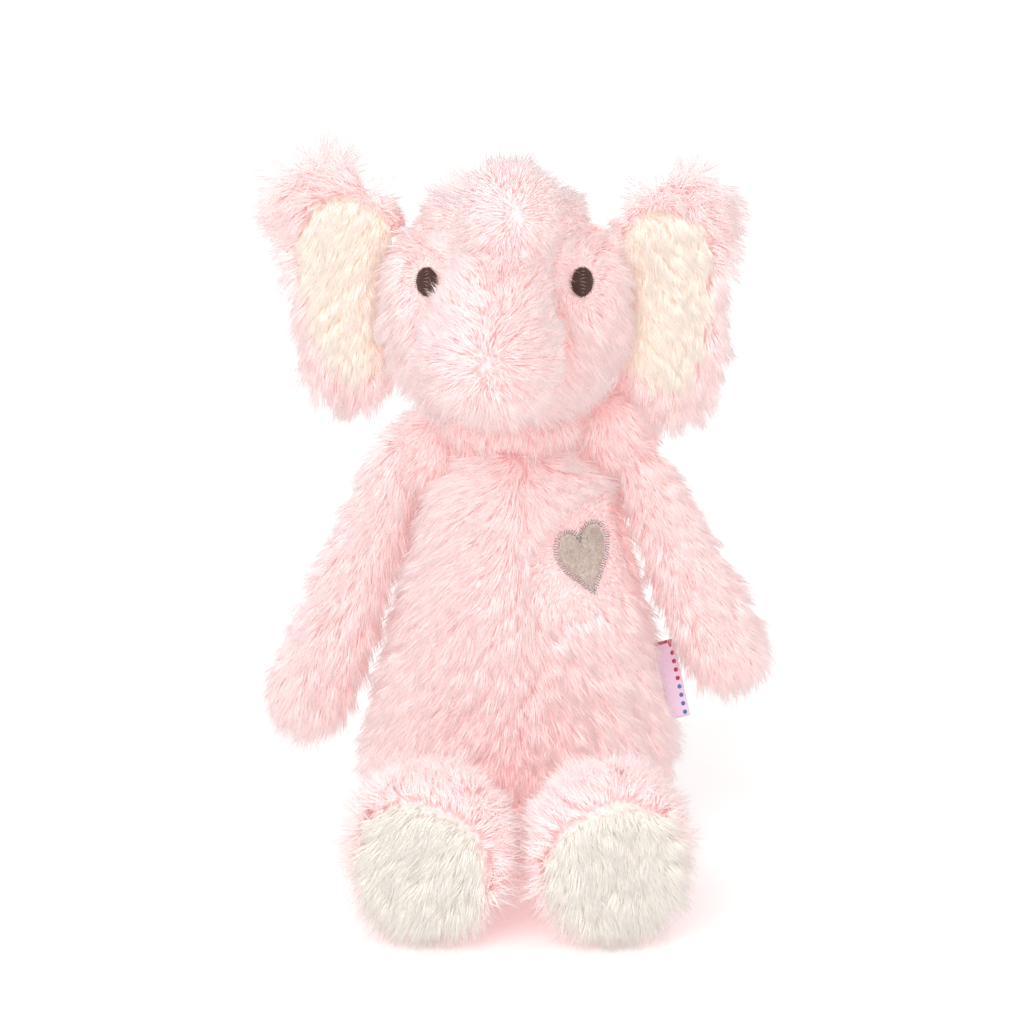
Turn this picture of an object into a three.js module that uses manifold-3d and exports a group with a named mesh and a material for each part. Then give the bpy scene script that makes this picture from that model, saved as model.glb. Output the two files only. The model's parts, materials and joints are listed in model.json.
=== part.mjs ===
// A seated plush elephant with a raised trunk, as the pieces it is sewn and stuffed from.
// Millimetres, +Z up. The toy faces -Y, so its own left side is +X.
// The origin is the middle of the flat seat under the torso.
// Each limb is a skin of sewn panels round a filling, and it meets its neighbour in a ball-shaped seam.

import * as THREE from "three";
import { mergeVertices } from "three/addons/utils/BufferGeometryUtils.js";
import Module from "manifold-3d";

const wasm = await Module();
wasm.setup();

const at = (x, y, z) => new THREE.Vector3(x, y, z);
const { degToRad } = THREE.MathUtils;

// ---------------------------------------------------------------- driving dimensions

const plush = 4.5; // backing cloth with the dense foot of the pile
const seamGap = 0.4; // between two pieces that touch
const jointGap = 1.4; // between a limb's ball end and the hollow it turns in

const torso = {
  seat: -5, // the round bottom's lowest point, which the floor presses flat at zero
  top: 183,
  domeHeight: 26, // how much of each end is rounded over
  // half sizes and the middle line's y at heights above the floor
  rings: [
    { z: 0, halfWidth: 60, halfDepth: 49, y: 0 },
    { z: 32, halfWidth: 66, halfDepth: 54, y: 0 },
    { z: 66, halfWidth: 60, halfDepth: 50, y: 1 },
    { z: 110, halfWidth: 50, halfDepth: 43, y: 2 },
    { z: 153, halfWidth: 41, halfDepth: 35, y: 3 },
    { z: 183, halfWidth: 34, halfDepth: 29, y: 4 },
  ],
  baseSeam: 9, // height of the seam round the seat panel
};

// the bag of pellets that weighs the seat down, flat where it lies on the base panel
const pouch = { centre: at(0, 6, 20), halfSizes: at(42, 28, 15), cloth: 1.6 };

const neck = { pivot: at(-4, 3, 184), radius: 15 };

const head = {
  centre: at(-6.4, -4, 236),
  halfSizes: at(49.5, 48, 47),
  squareness: 2.3, // 2 is an ellipsoid, and more is boxier
  crownSeam: 33, // the forehead seam, above the centre
};

const trunk = {
  pivot: at(-11.5, -60, 229),
  rootRadius: 25,
  socketRadius: 29,
  muzzle: { centre: at(-11.5, -77, 227.5), halfSizes: at(29, 29, 28.5) },
  // the tube that rises from the muzzle and leans forward at the tip
  rise: [
    { place: at(-11.5, -79, 229), half: 24 },
    { place: at(-9.5, -87, 246), half: 21.5 },
    { place: at(-7, -91, 261), half: 17.5 },
    { place: at(-5.5, -94, 276), half: 20 },
    { place: at(-4.6, -99, 281), half: 20 },
  ],
};

const ear = {
  hinge: 49.5, // from the middle of the head out to the seam
  rootGap: 3.4, // from the head, so that the ear can flap
  rootWall: 1.5, // of the two faces where they are sewn together at the root
  halfThickness: 6.5,
  wall: 4, // each plush face of the ear
  centre: { out: 66, z: 240 }, // the thickest point
  // distance out from the head's middle, and height
  outline: [
    { out: 30, z: 262 },
    { out: 45, z: 274 },
    { out: 64, z: 292 },
    { out: 87, z: 293 },
    { out: 95, z: 277 },
    { out: 92, z: 256 },
    { out: 87, z: 235 },
    { out: 84, z: 210 },
    { out: 75, z: 193 },
    { out: 60, z: 188 },
    { out: 44, z: 196 },
    { out: 30, z: 214 },
  ],
  insetOutline: [
    { out: 46, z: 262 },
    { out: 58, z: 275 },
    { out: 75, z: 275 },
    { out: 82, z: 262 },
    { out: 78, z: 235 },
    { out: 73, z: 216 },
    { out: 63, z: 206 },
    { out: 50, z: 210 },
    { out: 44, z: 225 },
  ],
  lift: { left: -2, right: 3 }, // how much higher each ear sits than the outline
  flare: { left: 7, right: 1 }, // how much further out each ear's lowest part hangs
};

// out from the head's middle; the embroidery lies in a recess in the pile
const eye = { out: 31, y: -10, z: 249, halfWidth: 4.6, halfHeight: 5.9 };
const eyeLayers = { topDepth: 1, backDepth: 3, recess: 3.4 };

// the patch lies in a recess in the pile, and its stitched border stands a little prouder
const heart = {
  place: at(26.5, -5, 133.5),
  height: 31,
  width: 24,
  lean: 15,
  border: 2.2,
  recess: 3.2,
  patchDepth: 1,
  borderDepth: 0.4,
  backDepth: 2.8,
};

const label = { seam: at(56.3, 1, 91), height: 34, reach: 9, ply: 0.5, fold: 1.2, lean: 12.5 };

const arms = {
  left: { pivot: at(48, 3, 171), spread: 25.5, forward: 7, length: 89 },
  right: { pivot: at(-49.5, 3, 171), spread: 21.5, forward: 3, length: 107 },
};
const armShape = { radii: [11.5, 12.5, 14, 16, 16.5], plugRadius: 6, flatness: 0.9 };

const legs = {
  left: { pivot: at(31, -45, 20), footX: 34.5, turnOut: 7 },
  right: { pivot: at(-31, -45, 20), footX: -35, turnOut: 10 },
};
const legShape = {
  rootRadius: 16.5,
  plugRadius: 9,
  socketRadius: 21.6, // wider than the root, so that the leg can drop
  // forward of the hip, with the middle line's height and the half sizes there
  stations: [
    { forward: 0, z: 20, halfWidth: 16.5, halfHeight: 16.5 },
    { forward: 15, z: 22, halfWidth: 18, halfHeight: 18 },
    { forward: 32, z: 27, halfWidth: 24, halfHeight: 23.5 },
    { forward: 55, z: 34, halfWidth: 28.5, halfHeight: 30 },
    { forward: 71, z: 37.5, halfWidth: 30, halfHeight: 33.5 },
  ],
  soleBulge: 12,
  soleSeam: 70, // forward of the hip
};

const tail = { root: at(0, 61, 42), length: 30, rootRadius: 6, tipRadius: 4.5, droop: 55 };

// ---------------------------------------------------------------- solids

function toSolid(geometry) {
  const plain = geometry.clone();
  plain.deleteAttribute("normal");
  plain.deleteAttribute("uv");
  const merged = mergeVertices(plain, 1e-4);
  return new wasm.Manifold(
    new wasm.Mesh({
      numProp: 3,
      vertProperties: new Float32Array(merged.attributes.position.array),
      triVerts: new Uint32Array(merged.index.array),
    }),
  );
}

function toGeometry(solid) {
  const mesh = solid.getMesh();
  return new THREE.BufferGeometry()
    .setAttribute("position", new THREE.BufferAttribute(mesh.vertProperties, 3))
    .setIndex(new THREE.BufferAttribute(mesh.triVerts, 1));
}

// Everything on the far side of a plane: the points past a place, along a direction.
function beyond(place, direction) {
  const reach = 800;
  const block = new THREE.BoxGeometry(reach, reach, reach).translate(0, 0, reach / 2);
  const turn = new THREE.Quaternion().setFromUnitVectors(at(0, 0, 1), direction.clone().normalize());
  return toSolid(block.applyQuaternion(turn).translate(place.x, place.y, place.z));
}

const above = (z) => beyond(at(0, 0, z), at(0, 0, 1));
const below = (z) => beyond(at(0, 0, z), at(0, 0, -1));

// The two halves of a solid on the sides of a seam plane.
function splitAtSeam(solid, place, direction) {
  const unit = direction.clone().normalize();
  const half = seamGap / 2;
  const far = beyond(place.clone().addScaledVector(unit, half), unit);
  const near = beyond(place.clone().addScaledVector(unit, -half), unit.clone().negate());
  return { far: solid.intersect(far), near: solid.intersect(near) };
}

function ellipsoid(centre, halfSizes, { segments = 12, squareness = 2 } = {}) {
  const sphere = new THREE.SphereGeometry(1, segments, Math.round(segments * 0.6));
  const position = sphere.attributes.position;
  const point = new THREE.Vector3();
  for (let i = 0; i < position.count; i += 1) {
    point.fromBufferAttribute(position, i);
    const power = (value) => Math.abs(value) ** squareness;
    point.divideScalar((power(point.x) + power(point.y) + power(point.z)) ** (1 / squareness));
    position.setXYZ(i, point.x, point.y, point.z);
  }
  sphere.rotateX(Math.PI / 2);
  sphere.scale(halfSizes.x, halfSizes.y, halfSizes.z);
  return toSolid(sphere.translate(centre.x, centre.y, centre.z));
}

const ball = (centre, radius, segments = 10) => ellipsoid(centre, at(radius, radius, radius), { segments });

// A closed skin over rings of points, drawn together at a pole before the first and after the last.
function closedSkin(rings, firstPole, lastPole) {
  const count = rings[0].length;
  const points = [firstPole, ...rings.flat(), lastPole];
  const last = points.length - 1;
  const faces = [];
  for (let j = 0; j < count; j += 1) {
    const next = (j + 1) % count;
    faces.push(0, 1 + next, 1 + j);
    for (let i = 0; i < rings.length - 1; i += 1) {
      const low = 1 + i * count;
      const high = low + count;
      faces.push(low + j, low + next, high + next);
      faces.push(low + j, high + next, high + j);
    }
    faces.push(last - count + j, last - count + next, last);
  }
  return toSolid(new THREE.BufferGeometry().setFromPoints(points).setIndex(faces));
}

// A soft limb with rounded ends. Each station has a place and the half sizes across and upright.
function limb(stations, { inset = 0, startDepth, endDepth, rows = 3, segments = 10, domeSteps = 3 }) {
  const places = new THREE.CatmullRomCurve3(stations.map((s) => s.place));
  const sizes = new THREE.CatmullRomCurve3(stations.map((s) => at(s.across, s.upright, 0)));
  const sectionAt = (t, slide, shrink) => {
    const along = places.getTangent(t);
    const upright = new THREE.Vector3().crossVectors(along, at(1, 0, 0)).normalize();
    const across = new THREE.Vector3().crossVectors(upright, along);
    const centre = places.getPoint(t).addScaledVector(along, slide);
    const size = sizes.getPoint(t).subScalar(inset).multiplyScalar(shrink);
    return Array.from({ length: segments }, (_, j) => {
      const angle = (2 * Math.PI * j) / segments;
      return centre
        .clone()
        .addScaledVector(across, size.x * Math.cos(angle))
        .addScaledVector(upright, size.y * Math.sin(angle));
    });
  };
  const pole = (t, slide) => places.getPoint(t).addScaledVector(places.getTangent(t), slide);
  const rings = [];
  for (let k = 1; k < domeSteps; k += 1) {
    const angle = (Math.PI / 2) * (k / domeSteps);
    rings.push(sectionAt(0, -(startDepth - inset) * Math.cos(angle), Math.sin(angle)));
  }
  for (let i = 0; i <= rows; i += 1) rings.push(sectionAt(i / rows, 0, 1));
  for (let k = domeSteps - 1; k > 0; k -= 1) {
    const angle = (Math.PI / 2) * (k / domeSteps);
    rings.push(sectionAt(1, (endDepth - inset) * Math.cos(angle), Math.sin(angle)));
  }
  return closedSkin(rings, pole(0, -(startDepth - inset)), pole(1, endDepth - inset));
}

// The skin of plush between a form's outside and its lining, and the space left for the filling.
function skinAndCore(form) {
  return { skin: form(0).subtract(form(plush)), core: form(plush + seamGap) };
}

// ---------------------------------------------------------------- materials and nodes

const cloth = (color) => new THREE.MeshStandardMaterial({ color, roughness: 0.95, metalness: 0 });
const thread = (color) => new THREE.MeshStandardMaterial({ color, roughness: 0.55, metalness: 0 });
const pinkPlush = cloth("#f6d5d5");
const creamPlush = cloth("#fbf0e0");
const whitePlush = cloth("#f3eee6");
const fibreFilling = cloth("#fafafa");
const pouchCloth = cloth("#e6e1d6");
const plasticPellets = thread("#d5d8d6");
const brownThread = thread("#3b221f");
const taupeVelour = cloth("#bda79b");
const greyThread = thread("#8c9094");
const lilacRibbon = thread("#efcfe2");

const elephant = new THREE.Group();

function addPiece(name, solid, material, parent = elephant) {
  const mesh = new THREE.Mesh(toGeometry(solid), material.clone());
  mesh.name = name;
  parent.add(mesh);
}

// ---------------------------------------------------------------- torso

function torsoForm(inset) {
  const bottom = torso.seat + inset;
  const top = torso.top - inset;
  const segments = 16;
  const rows = 9;
  const heights = torso.rings.map((ring) => ring.z);
  const valueAt = (key, z) => {
    const level = THREE.MathUtils.clamp(z, heights[0], heights[heights.length - 1] - 1e-6);
    const index = heights.findLastIndex((height) => height <= level);
    const share = (level - heights[index]) / (heights[index + 1] - heights[index]);
    const blend = new THREE.SplineCurve(torso.rings.map((ring) => new THREE.Vector2(0, ring[key])));
    return blend.getPoint((index + share) / (heights.length - 1)).y;
  };
  const rings = [];
  for (let i = 1; i < rows; i += 1) {
    const z = bottom + ((top - bottom) * (1 - Math.cos((Math.PI * i) / rows))) / 2;
    const fromEnd = Math.min(z - bottom, top - z, torso.domeHeight) / torso.domeHeight;
    const shrink = Math.sqrt(1 - (1 - fromEnd) ** 2);
    const ring = [];
    for (let j = 0; j < segments; j += 1) {
      const angle = (2 * Math.PI * j) / segments;
      const x = (valueAt("halfWidth", z) - inset) * shrink * Math.cos(angle);
      const y = (valueAt("halfDepth", z) - inset) * shrink * Math.sin(angle);
      ring.push(at(x, y + valueAt("y", z), z));
    }
    rings.push(ring);
  }
  return closedSkin(rings, at(0, valueAt("y", bottom), bottom), at(0, valueAt("y", top), top));
}

// The form with its underside pressed flat, a little higher the further it is inset.
const seatedTorso = (inset) => torsoForm(inset).intersect(above(inset));

// The hollows that the neck, arms and legs turn in.
function limbHollows() {
  const hollows = [ball(neck.pivot, neck.radius + jointGap)];
  for (const side of Object.values(arms))
    hollows.push(ball(side.pivot, armShape.radii[0] + jointGap));
  for (const side of Object.values(legs))
    hollows.push(ball(side.pivot, legShape.socketRadius, 12));
  return hollows;
}

const cutAway = (solid, cutters) => cutters.reduce((rest, cutter) => rest.subtract(cutter), solid);

// A heart that stands in the XZ plane, round its own middle.
function heartShape(grow) {
  const w = heart.width / 2 + grow;
  const h = heart.height / 2 + grow;
  return new THREE.Shape()
    .moveTo(0, h * 0.58)
    .bezierCurveTo(w * 0.1, h * 1.05, w * 0.95, h * 1.15, w, h * 0.4)
    .bezierCurveTo(w, -h * 0.15, w * 0.3, -h * 0.6, 0, -h)
    .bezierCurveTo(-w * 0.3, -h * 0.6, -w, -h * 0.15, -w, h * 0.4)
    .bezierCurveTo(-w * 0.95, h * 1.15, -w * 0.1, h * 1.05, 0, h * 0.58);
}

// A shape drawn in the XZ plane, pushed through the toy's front from far in front to the middle.
function frontStamp(shape, place, lean = 0) {
  const depth = 90;
  const stamp = new THREE.ExtrudeGeometry(shape, { depth, bevelEnabled: false, curveSegments: 5 });
  stamp.rotateZ(degToRad(lean)).rotateX(Math.PI / 2);
  return toSolid(stamp.translate(place.x, place.y, place.z));
}

function buildTorso() {
  const patchStamp = frontStamp(heartShape(-heart.border), heart.place, heart.lean);
  const borderStamp = frontStamp(heartShape(0), heart.place, heart.lean);
  const borderHole = frontStamp(heartShape(seamGap - heart.border), heart.place, heart.lean);
  const pocketStamp = frontStamp(heartShape(seamGap), heart.place, heart.lean);
  const pocket = pocketStamp.subtract(torsoForm(heart.recess));
  const skin = cutAway(seatedTorso(0).subtract(seatedTorso(plush)), [...limbHollows(), pocket]);

  const atBase = splitAtSeam(skin, at(0, 0, torso.baseSeam), at(0, 0, 1));
  addPiece("torso_base_panel", atBase.near, pinkPlush);
  const sides = splitAtSeam(atBase.far, at(0, 0, 0), at(0, 1, 0));
  for (const [end, half] of [["front", sides.near], ["back", sides.far]]) {
    const halves = splitAtSeam(half, at(0, 0, 0), at(1, 0, 0));
    addPiece(`torso_${end}_left_panel`, halves.far, pinkPlush);
    addPiece(`torso_${end}_right_panel`, halves.near, pinkPlush);
  }
  const patchLayer = torsoForm(heart.patchDepth).subtract(torsoForm(heart.backDepth));
  addPiece("heart_patch", patchLayer.intersect(patchStamp), taupeVelour);
  const borderLayer = torsoForm(heart.borderDepth).subtract(torsoForm(heart.backDepth));
  const border = borderLayer.intersect(borderStamp).subtract(borderHole);
  addPiece("heart_border_stitching", border, greyThread);

  const core = cutAway(seatedTorso(plush + seamGap), limbHollows());
  addPiece("torso_filling", core.subtract(pouchForm(-seamGap)), fibreFilling);
}

function pouchForm(inset) {
  const bag = ellipsoid(pouch.centre, pouch.halfSizes.clone().subScalar(inset));
  return bag.intersect(seatedTorso(plush + seamGap + inset));
}

function buildPouch() {
  const bag = pouchForm(0).subtract(pouchForm(pouch.cloth));
  const halves = splitAtSeam(bag, pouch.centre, at(0, 0, 1));
  addPiece("pellet_pouch_top", halves.far, pouchCloth);
  addPiece("pellet_pouch_bottom", halves.near, pouchCloth);
  addPiece("pouch_pellets", pouchForm(pouch.cloth + seamGap), plasticPellets);
}

// A ribbon folded in half, its two ends held in the side seam.
function buildLabel() {
  const outer = label.fold / 2 + label.ply;
  const inner = label.fold / 2;
  const straight = label.reach - outer;
  const loop = new THREE.Shape()
    .moveTo(0, -outer)
    .lineTo(straight, -outer)
    .absarc(straight, 0, outer, -Math.PI / 2, Math.PI / 2)
    .lineTo(0, outer)
    .lineTo(0, inner)
    .lineTo(straight, inner)
    .absarc(straight, 0, inner, Math.PI / 2, -Math.PI / 2, true)
    .lineTo(0, -inner)
    .closePath();
  const ribbon = new THREE.ExtrudeGeometry(loop, {
    depth: label.height,
    bevelEnabled: false,
    curveSegments: 4,
  });
  ribbon.translate(0, 0, -label.height).rotateY(-degToRad(label.lean));
  ribbon.translate(label.seam.x, label.seam.y, label.seam.z);
  addPiece("side_label", toSolid(ribbon), lilacRibbon);
}

// ---------------------------------------------------------------- head

function headForm(inset) {
  const halfSizes = head.halfSizes.clone().subScalar(inset);
  return ellipsoid(head.centre, halfSizes, { segments: 16, squareness: head.squareness });
}

function eyeShape(grow) {
  return new THREE.Shape().absellipse(0, 0, eye.halfWidth + grow, eye.halfHeight + grow, 0, 2 * Math.PI);
}

function buildHead() {
  const hollows = [
    ball(neck.pivot, neck.radius + jointGap),
    ball(trunk.pivot, trunk.socketRadius, 12),
  ];
  const eyePlaces = {
    left: at(head.centre.x + eye.out, eye.y, eye.z),
    right: at(head.centre.x - eye.out, eye.y, eye.z),
  };
  const eyeLayer = headForm(eyeLayers.topDepth).subtract(headForm(eyeLayers.backDepth));
  for (const [side, place] of Object.entries(eyePlaces)) {
    addPiece(`eye_${side}`, eyeLayer.intersect(frontStamp(eyeShape(0), place)), brownThread);
    hollows.push(frontStamp(eyeShape(seamGap), place).subtract(headForm(eyeLayers.recess)));
  }
  const { skin, core } = skinAndCore(headForm);
  const shell = cutAway(skin, hollows);
  const crownHeight = head.centre.z + head.crownSeam;
  const crown = splitAtSeam(shell, at(0, 0, crownHeight), at(0, 0, 1));
  addPiece("head_crown_panel", crown.far, pinkPlush);
  const coronal = splitAtSeam(crown.near, at(0, 0, 0), at(0, 1, 0));
  addPiece("head_back_panel", coronal.far, pinkPlush);
  const face = splitAtSeam(coronal.near, head.centre, at(1, 0, 0));
  addPiece("head_face_left_panel", face.far, pinkPlush);
  addPiece("head_face_right_panel", face.near, pinkPlush);
  addPiece("head_filling", cutAway(core, hollows.slice(0, 2)), fibreFilling);
  addPiece("neck_filling", ball(neck.pivot, neck.radius), fibreFilling);
}

// ---------------------------------------------------------------- trunk

function trunkForm(inset) {
  const rise = trunk.rise.map(({ place, half }) => ({ place, across: half, upright: half }));
  const tip = trunk.rise[trunk.rise.length - 1].half;
  const tube = limb(rise, { inset, startDepth: trunk.rise[0].half, endDepth: tip, rows: 5 });
  const muzzle = ellipsoid(trunk.muzzle.centre, trunk.muzzle.halfSizes.clone().subScalar(inset));
  return tube.add(muzzle).add(ball(trunk.pivot, trunk.rootRadius - inset));
}

function buildTrunk() {
  const { skin, core } = skinAndCore(trunkForm);
  const halves = splitAtSeam(skin, trunk.muzzle.centre, at(1, 0, -0.09));
  addPiece("trunk_left_panel", halves.far, pinkPlush);
  addPiece("trunk_right_panel", halves.near, pinkPlush);
  addPiece("trunk_filling", core, fibreFilling);
}

// ---------------------------------------------------------------- ears

// The lower part of an ear swings outwards by its flare.
const flared = (out, z, flare) => out + flare * THREE.MathUtils.clamp((ear.centre.z + 20 - z) / 45, 0, 1);

// A flat pillow over the ear's outline. Side is 1 on the toy's left and -1 on its right.
function earForm(side, lift, flare, inset) {
  const corners = ear.outline.map(({ out, z }) => at(flared(out, z, flare), 0, z));
  const edge = new THREE.CatmullRomCurve3(corners, true, "catmullrom", 0.5);
  const segments = 18;
  const middle = at(ear.centre.out, 0, ear.centre.z);
  const half = ear.halfThickness - inset;
  const rounding = [0.55, 0.88]; // how far out each ring lies
  const place = (point) => at(head.centre.x + side * point.x, point.y, point.z + lift);
  const ring = (share, face) =>
    Array.from({ length: segments }, (_, j) => {
      const spoke = edge.getPoint(j / segments).sub(middle);
      spoke.setLength(spoke.length() - inset).multiplyScalar(share);
      spoke.y = face * half * Math.sqrt(1 - share ** 3);
      return place(spoke.add(middle));
    });
  const front = rounding.map((share) => ring(share, -1));
  const back = rounding.map((share) => ring(share, 1)).reverse();
  const poles = [-half, half].map((y) => place(at(middle.x, y, middle.z)));
  const rings = [...front, ring(1, 0), ...back];
  return side > 0
    ? closedSkin(rings, poles[0], poles[1])
    : closedSkin(rings.map((points) => points.slice().reverse()), poles[0], poles[1]);
}

function buildEar(name, side) {
  const lift = ear.lift[name];
  const flare = ear.flare[name];
  const room = headForm(-ear.rootGap);
  const outside = earForm(side, lift, flare, 0).subtract(room);
  const lining = headForm(-ear.rootGap - ear.rootWall);
  const inside = earForm(side, lift, flare, ear.wall).subtract(lining);
  const stuffed = headForm(-ear.rootGap - ear.rootWall - seamGap);
  const wadding = earForm(side, lift, flare, ear.wall + seamGap).subtract(stuffed);
  const faces = splitAtSeam(outside.subtract(inside), at(0, 0, 0), at(0, 1, 0));
  const stamp = (shrink) => {
    const points = ear.insetOutline.map(
      ({ out, z }) => new THREE.Vector2(head.centre.x + side * flared(out, z, flare), z + lift),
    );
    const middle = points.reduce((sum, p) => sum.add(p), new THREE.Vector2()).divideScalar(points.length);
    for (const point of points) {
      const spoke = point.sub(middle);
      spoke.setLength(spoke.length() - shrink).add(middle);
    }
    if (side < 0) points.reverse();
    const edge = new THREE.SplineCurve([...points, points[0]]);
    return frontStamp(new THREE.Shape(edge.getPoints(26)), at(0, 0, 0));
  };
  addPiece(`ear_${name}_back_panel`, faces.far, pinkPlush);
  addPiece(`ear_${name}_rim_panel`, faces.near.subtract(stamp(0)), pinkPlush);
  addPiece(`ear_${name}_inset_panel`, faces.near.intersect(stamp(seamGap)), creamPlush);
  addPiece(`ear_${name}_wadding`, wadding, fibreFilling);
}

// ---------------------------------------------------------------- arms

function buildArm(name, { pivot, spread, forward, length }) {
  const side = name === "left" ? 1 : -1;
  const group = new THREE.Group();
  group.position.copy(pivot);
  group.rotation.set(degToRad(-forward), degToRad(-side * spread), 0);
  elephant.add(group);
  const { radii } = armShape;
  const stations = radii.map((radius, i) => ({
    place: at(0, 0, (-length * i) / (radii.length - 1)),
    across: radius,
    upright: radius * (i === 0 ? 1 : armShape.flatness),
  }));
  const handRadius = radii[radii.length - 1];
  const form = (inset) => limb(stations, { inset, startDepth: radii[0], endDepth: handRadius });
  const { skin, core } = skinAndCore(form);
  const room = ball(at(0, 0, 0), armShape.plugRadius + jointGap, 8);
  const halves = splitAtSeam(skin, at(0, 0, 0), at(side, 0, 0));
  addPiece(`arm_${name}_outer_panel`, halves.far, pinkPlush, group);
  addPiece(`arm_${name}_inner_panel`, halves.near, pinkPlush, group);
  const stuffed = beyond(at(0, 0, -2), at(0, 0, -1));
  addPiece(`arm_${name}_filling`, core.intersect(stuffed).subtract(room), fibreFilling, group);
  addPiece(`shoulder_${name}_filling`, ball(at(0, 0, 0), armShape.plugRadius, 8), fibreFilling, group);
}

// ---------------------------------------------------------------- legs

function buildLeg(name, { pivot, footX, turnOut }) {
  const side = name === "left" ? 1 : -1;
  const reach = legShape.stations[legShape.stations.length - 1].forward;
  const stations = legShape.stations.map(({ forward, z, halfWidth, halfHeight }) => ({
    place: at(pivot.x + ((footX - pivot.x) * forward) / reach, pivot.y - forward, z),
    across: halfWidth,
    upright: halfHeight,
  }));
  const form = (inset) =>
    limb(stations, {
      inset,
      startDepth: legShape.rootRadius,
      endDepth: legShape.soleBulge,
      segments: 12,
      rows: 4,
    });
  const { skin, core } = skinAndCore(form);
  const soleFacing = at(side * Math.sin(degToRad(turnOut)), -Math.cos(degToRad(turnOut)), -0.06);
  const solePlace = at(footX, pivot.y - legShape.soleSeam, legShape.stations[4].z);
  const sole = splitAtSeam(skin, solePlace, soleFacing);
  const wrap = splitAtSeam(sole.near, at(pivot.x, pivot.y, pivot.z), at(0, 0.2, 1));
  addPiece(`leg_${name}_top_panel`, wrap.far, pinkPlush);
  addPiece(`leg_${name}_under_panel`, wrap.near, pinkPlush);
  addPiece(`foot_${name}_sole_panel`, sole.far, whitePlush);
  const room = ball(pivot, legShape.plugRadius + jointGap, 8);
  const stuffed = beyond(at(0, pivot.y - 2, 0), at(0, -1, 0));
  addPiece(`leg_${name}_filling`, core.intersect(stuffed).subtract(room), fibreFilling);
  addPiece(`hip_${name}_filling`, ball(pivot, legShape.plugRadius, 8), fibreFilling);
}

// ---------------------------------------------------------------- tail

function buildTail() {
  const stations = [0, 0.5, 1].map((share) => {
    const radius = tail.rootRadius + (tail.tipRadius - tail.rootRadius) * share;
    return { place: at(0, 0, -tail.length * share), across: radius, upright: radius };
  });
  const tuft = limb(stations, {
    startDepth: tail.rootRadius,
    endDepth: tail.tipRadius,
    rows: 3,
    segments: 10,
  });
  const group = new THREE.Group();
  group.position.copy(tail.root);
  group.rotation.set(degToRad(tail.droop), 0, 0);
  elephant.add(group);
  addPiece("tail", tuft, pinkPlush, group);
}

buildTorso();
buildPouch();
buildLabel();
buildHead();
buildTrunk();
buildEar("left", 1);
buildEar("right", -1);
for (const [name, side] of Object.entries(arms)) buildArm(name, side);
for (const [name, side] of Object.entries(legs)) buildLeg(name, side);
buildTail();

export default elephant;
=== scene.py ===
# A seated plush elephant: skins sewn from panels, a long soft pile on each, filling inside.
# Everything is in metres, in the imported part's own frame. The toy faces -Y and its left is +X.

import json
import math

import bmesh
import bpy
import numpy as np
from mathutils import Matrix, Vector, noise
from mathutils.bvhtree import BVHTree

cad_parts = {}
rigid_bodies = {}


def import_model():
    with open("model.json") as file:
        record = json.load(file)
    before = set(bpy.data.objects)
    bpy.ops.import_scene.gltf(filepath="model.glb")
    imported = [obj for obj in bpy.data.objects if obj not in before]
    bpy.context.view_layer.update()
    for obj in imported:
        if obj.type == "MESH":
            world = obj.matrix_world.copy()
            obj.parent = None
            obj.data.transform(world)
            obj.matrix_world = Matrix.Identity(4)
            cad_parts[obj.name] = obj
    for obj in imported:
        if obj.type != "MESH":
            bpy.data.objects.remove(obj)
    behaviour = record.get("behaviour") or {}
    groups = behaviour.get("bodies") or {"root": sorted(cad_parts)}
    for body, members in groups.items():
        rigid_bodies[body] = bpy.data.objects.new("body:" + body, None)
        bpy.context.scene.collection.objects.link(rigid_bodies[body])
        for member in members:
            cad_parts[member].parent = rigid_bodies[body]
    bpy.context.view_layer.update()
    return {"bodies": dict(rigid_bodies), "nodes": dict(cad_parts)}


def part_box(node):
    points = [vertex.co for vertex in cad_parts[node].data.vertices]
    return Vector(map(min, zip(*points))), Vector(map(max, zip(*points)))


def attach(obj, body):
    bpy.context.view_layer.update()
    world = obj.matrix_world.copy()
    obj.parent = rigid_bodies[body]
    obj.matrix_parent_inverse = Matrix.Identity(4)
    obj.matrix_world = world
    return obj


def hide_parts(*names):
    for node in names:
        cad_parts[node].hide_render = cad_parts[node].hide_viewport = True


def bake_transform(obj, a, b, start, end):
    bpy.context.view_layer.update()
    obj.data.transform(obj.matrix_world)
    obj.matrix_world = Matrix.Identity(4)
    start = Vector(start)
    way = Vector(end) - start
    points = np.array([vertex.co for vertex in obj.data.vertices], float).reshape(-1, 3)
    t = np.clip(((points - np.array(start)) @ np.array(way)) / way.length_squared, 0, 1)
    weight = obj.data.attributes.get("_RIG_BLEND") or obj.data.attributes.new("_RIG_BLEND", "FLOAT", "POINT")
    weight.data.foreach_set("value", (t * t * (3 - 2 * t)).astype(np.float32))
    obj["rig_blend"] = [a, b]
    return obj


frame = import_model()
scene = bpy.context.scene
mm = 0.001


def treeOf(meshes):
    corners = []
    faces = []
    for mesh in meshes:
        first = len(corners)
        corners += [vert.co.copy() for vert in mesh.vertices]
        faces += [tuple(first + corner for corner in face.vertices) for face in mesh.polygons]
    return BVHTree.FromPolygons(corners, faces)


def boxMiddle(node):
    low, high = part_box(node)
    return (np.array(low) + np.array(high)) / 2


# ---- camera, light and floor

viewpoint = {
    "target": (-0.0035, 0.0, 0.148),
    "distance": 1.15,
    "elevation": 11.0,
    "lens": 96.3,
}


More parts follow.
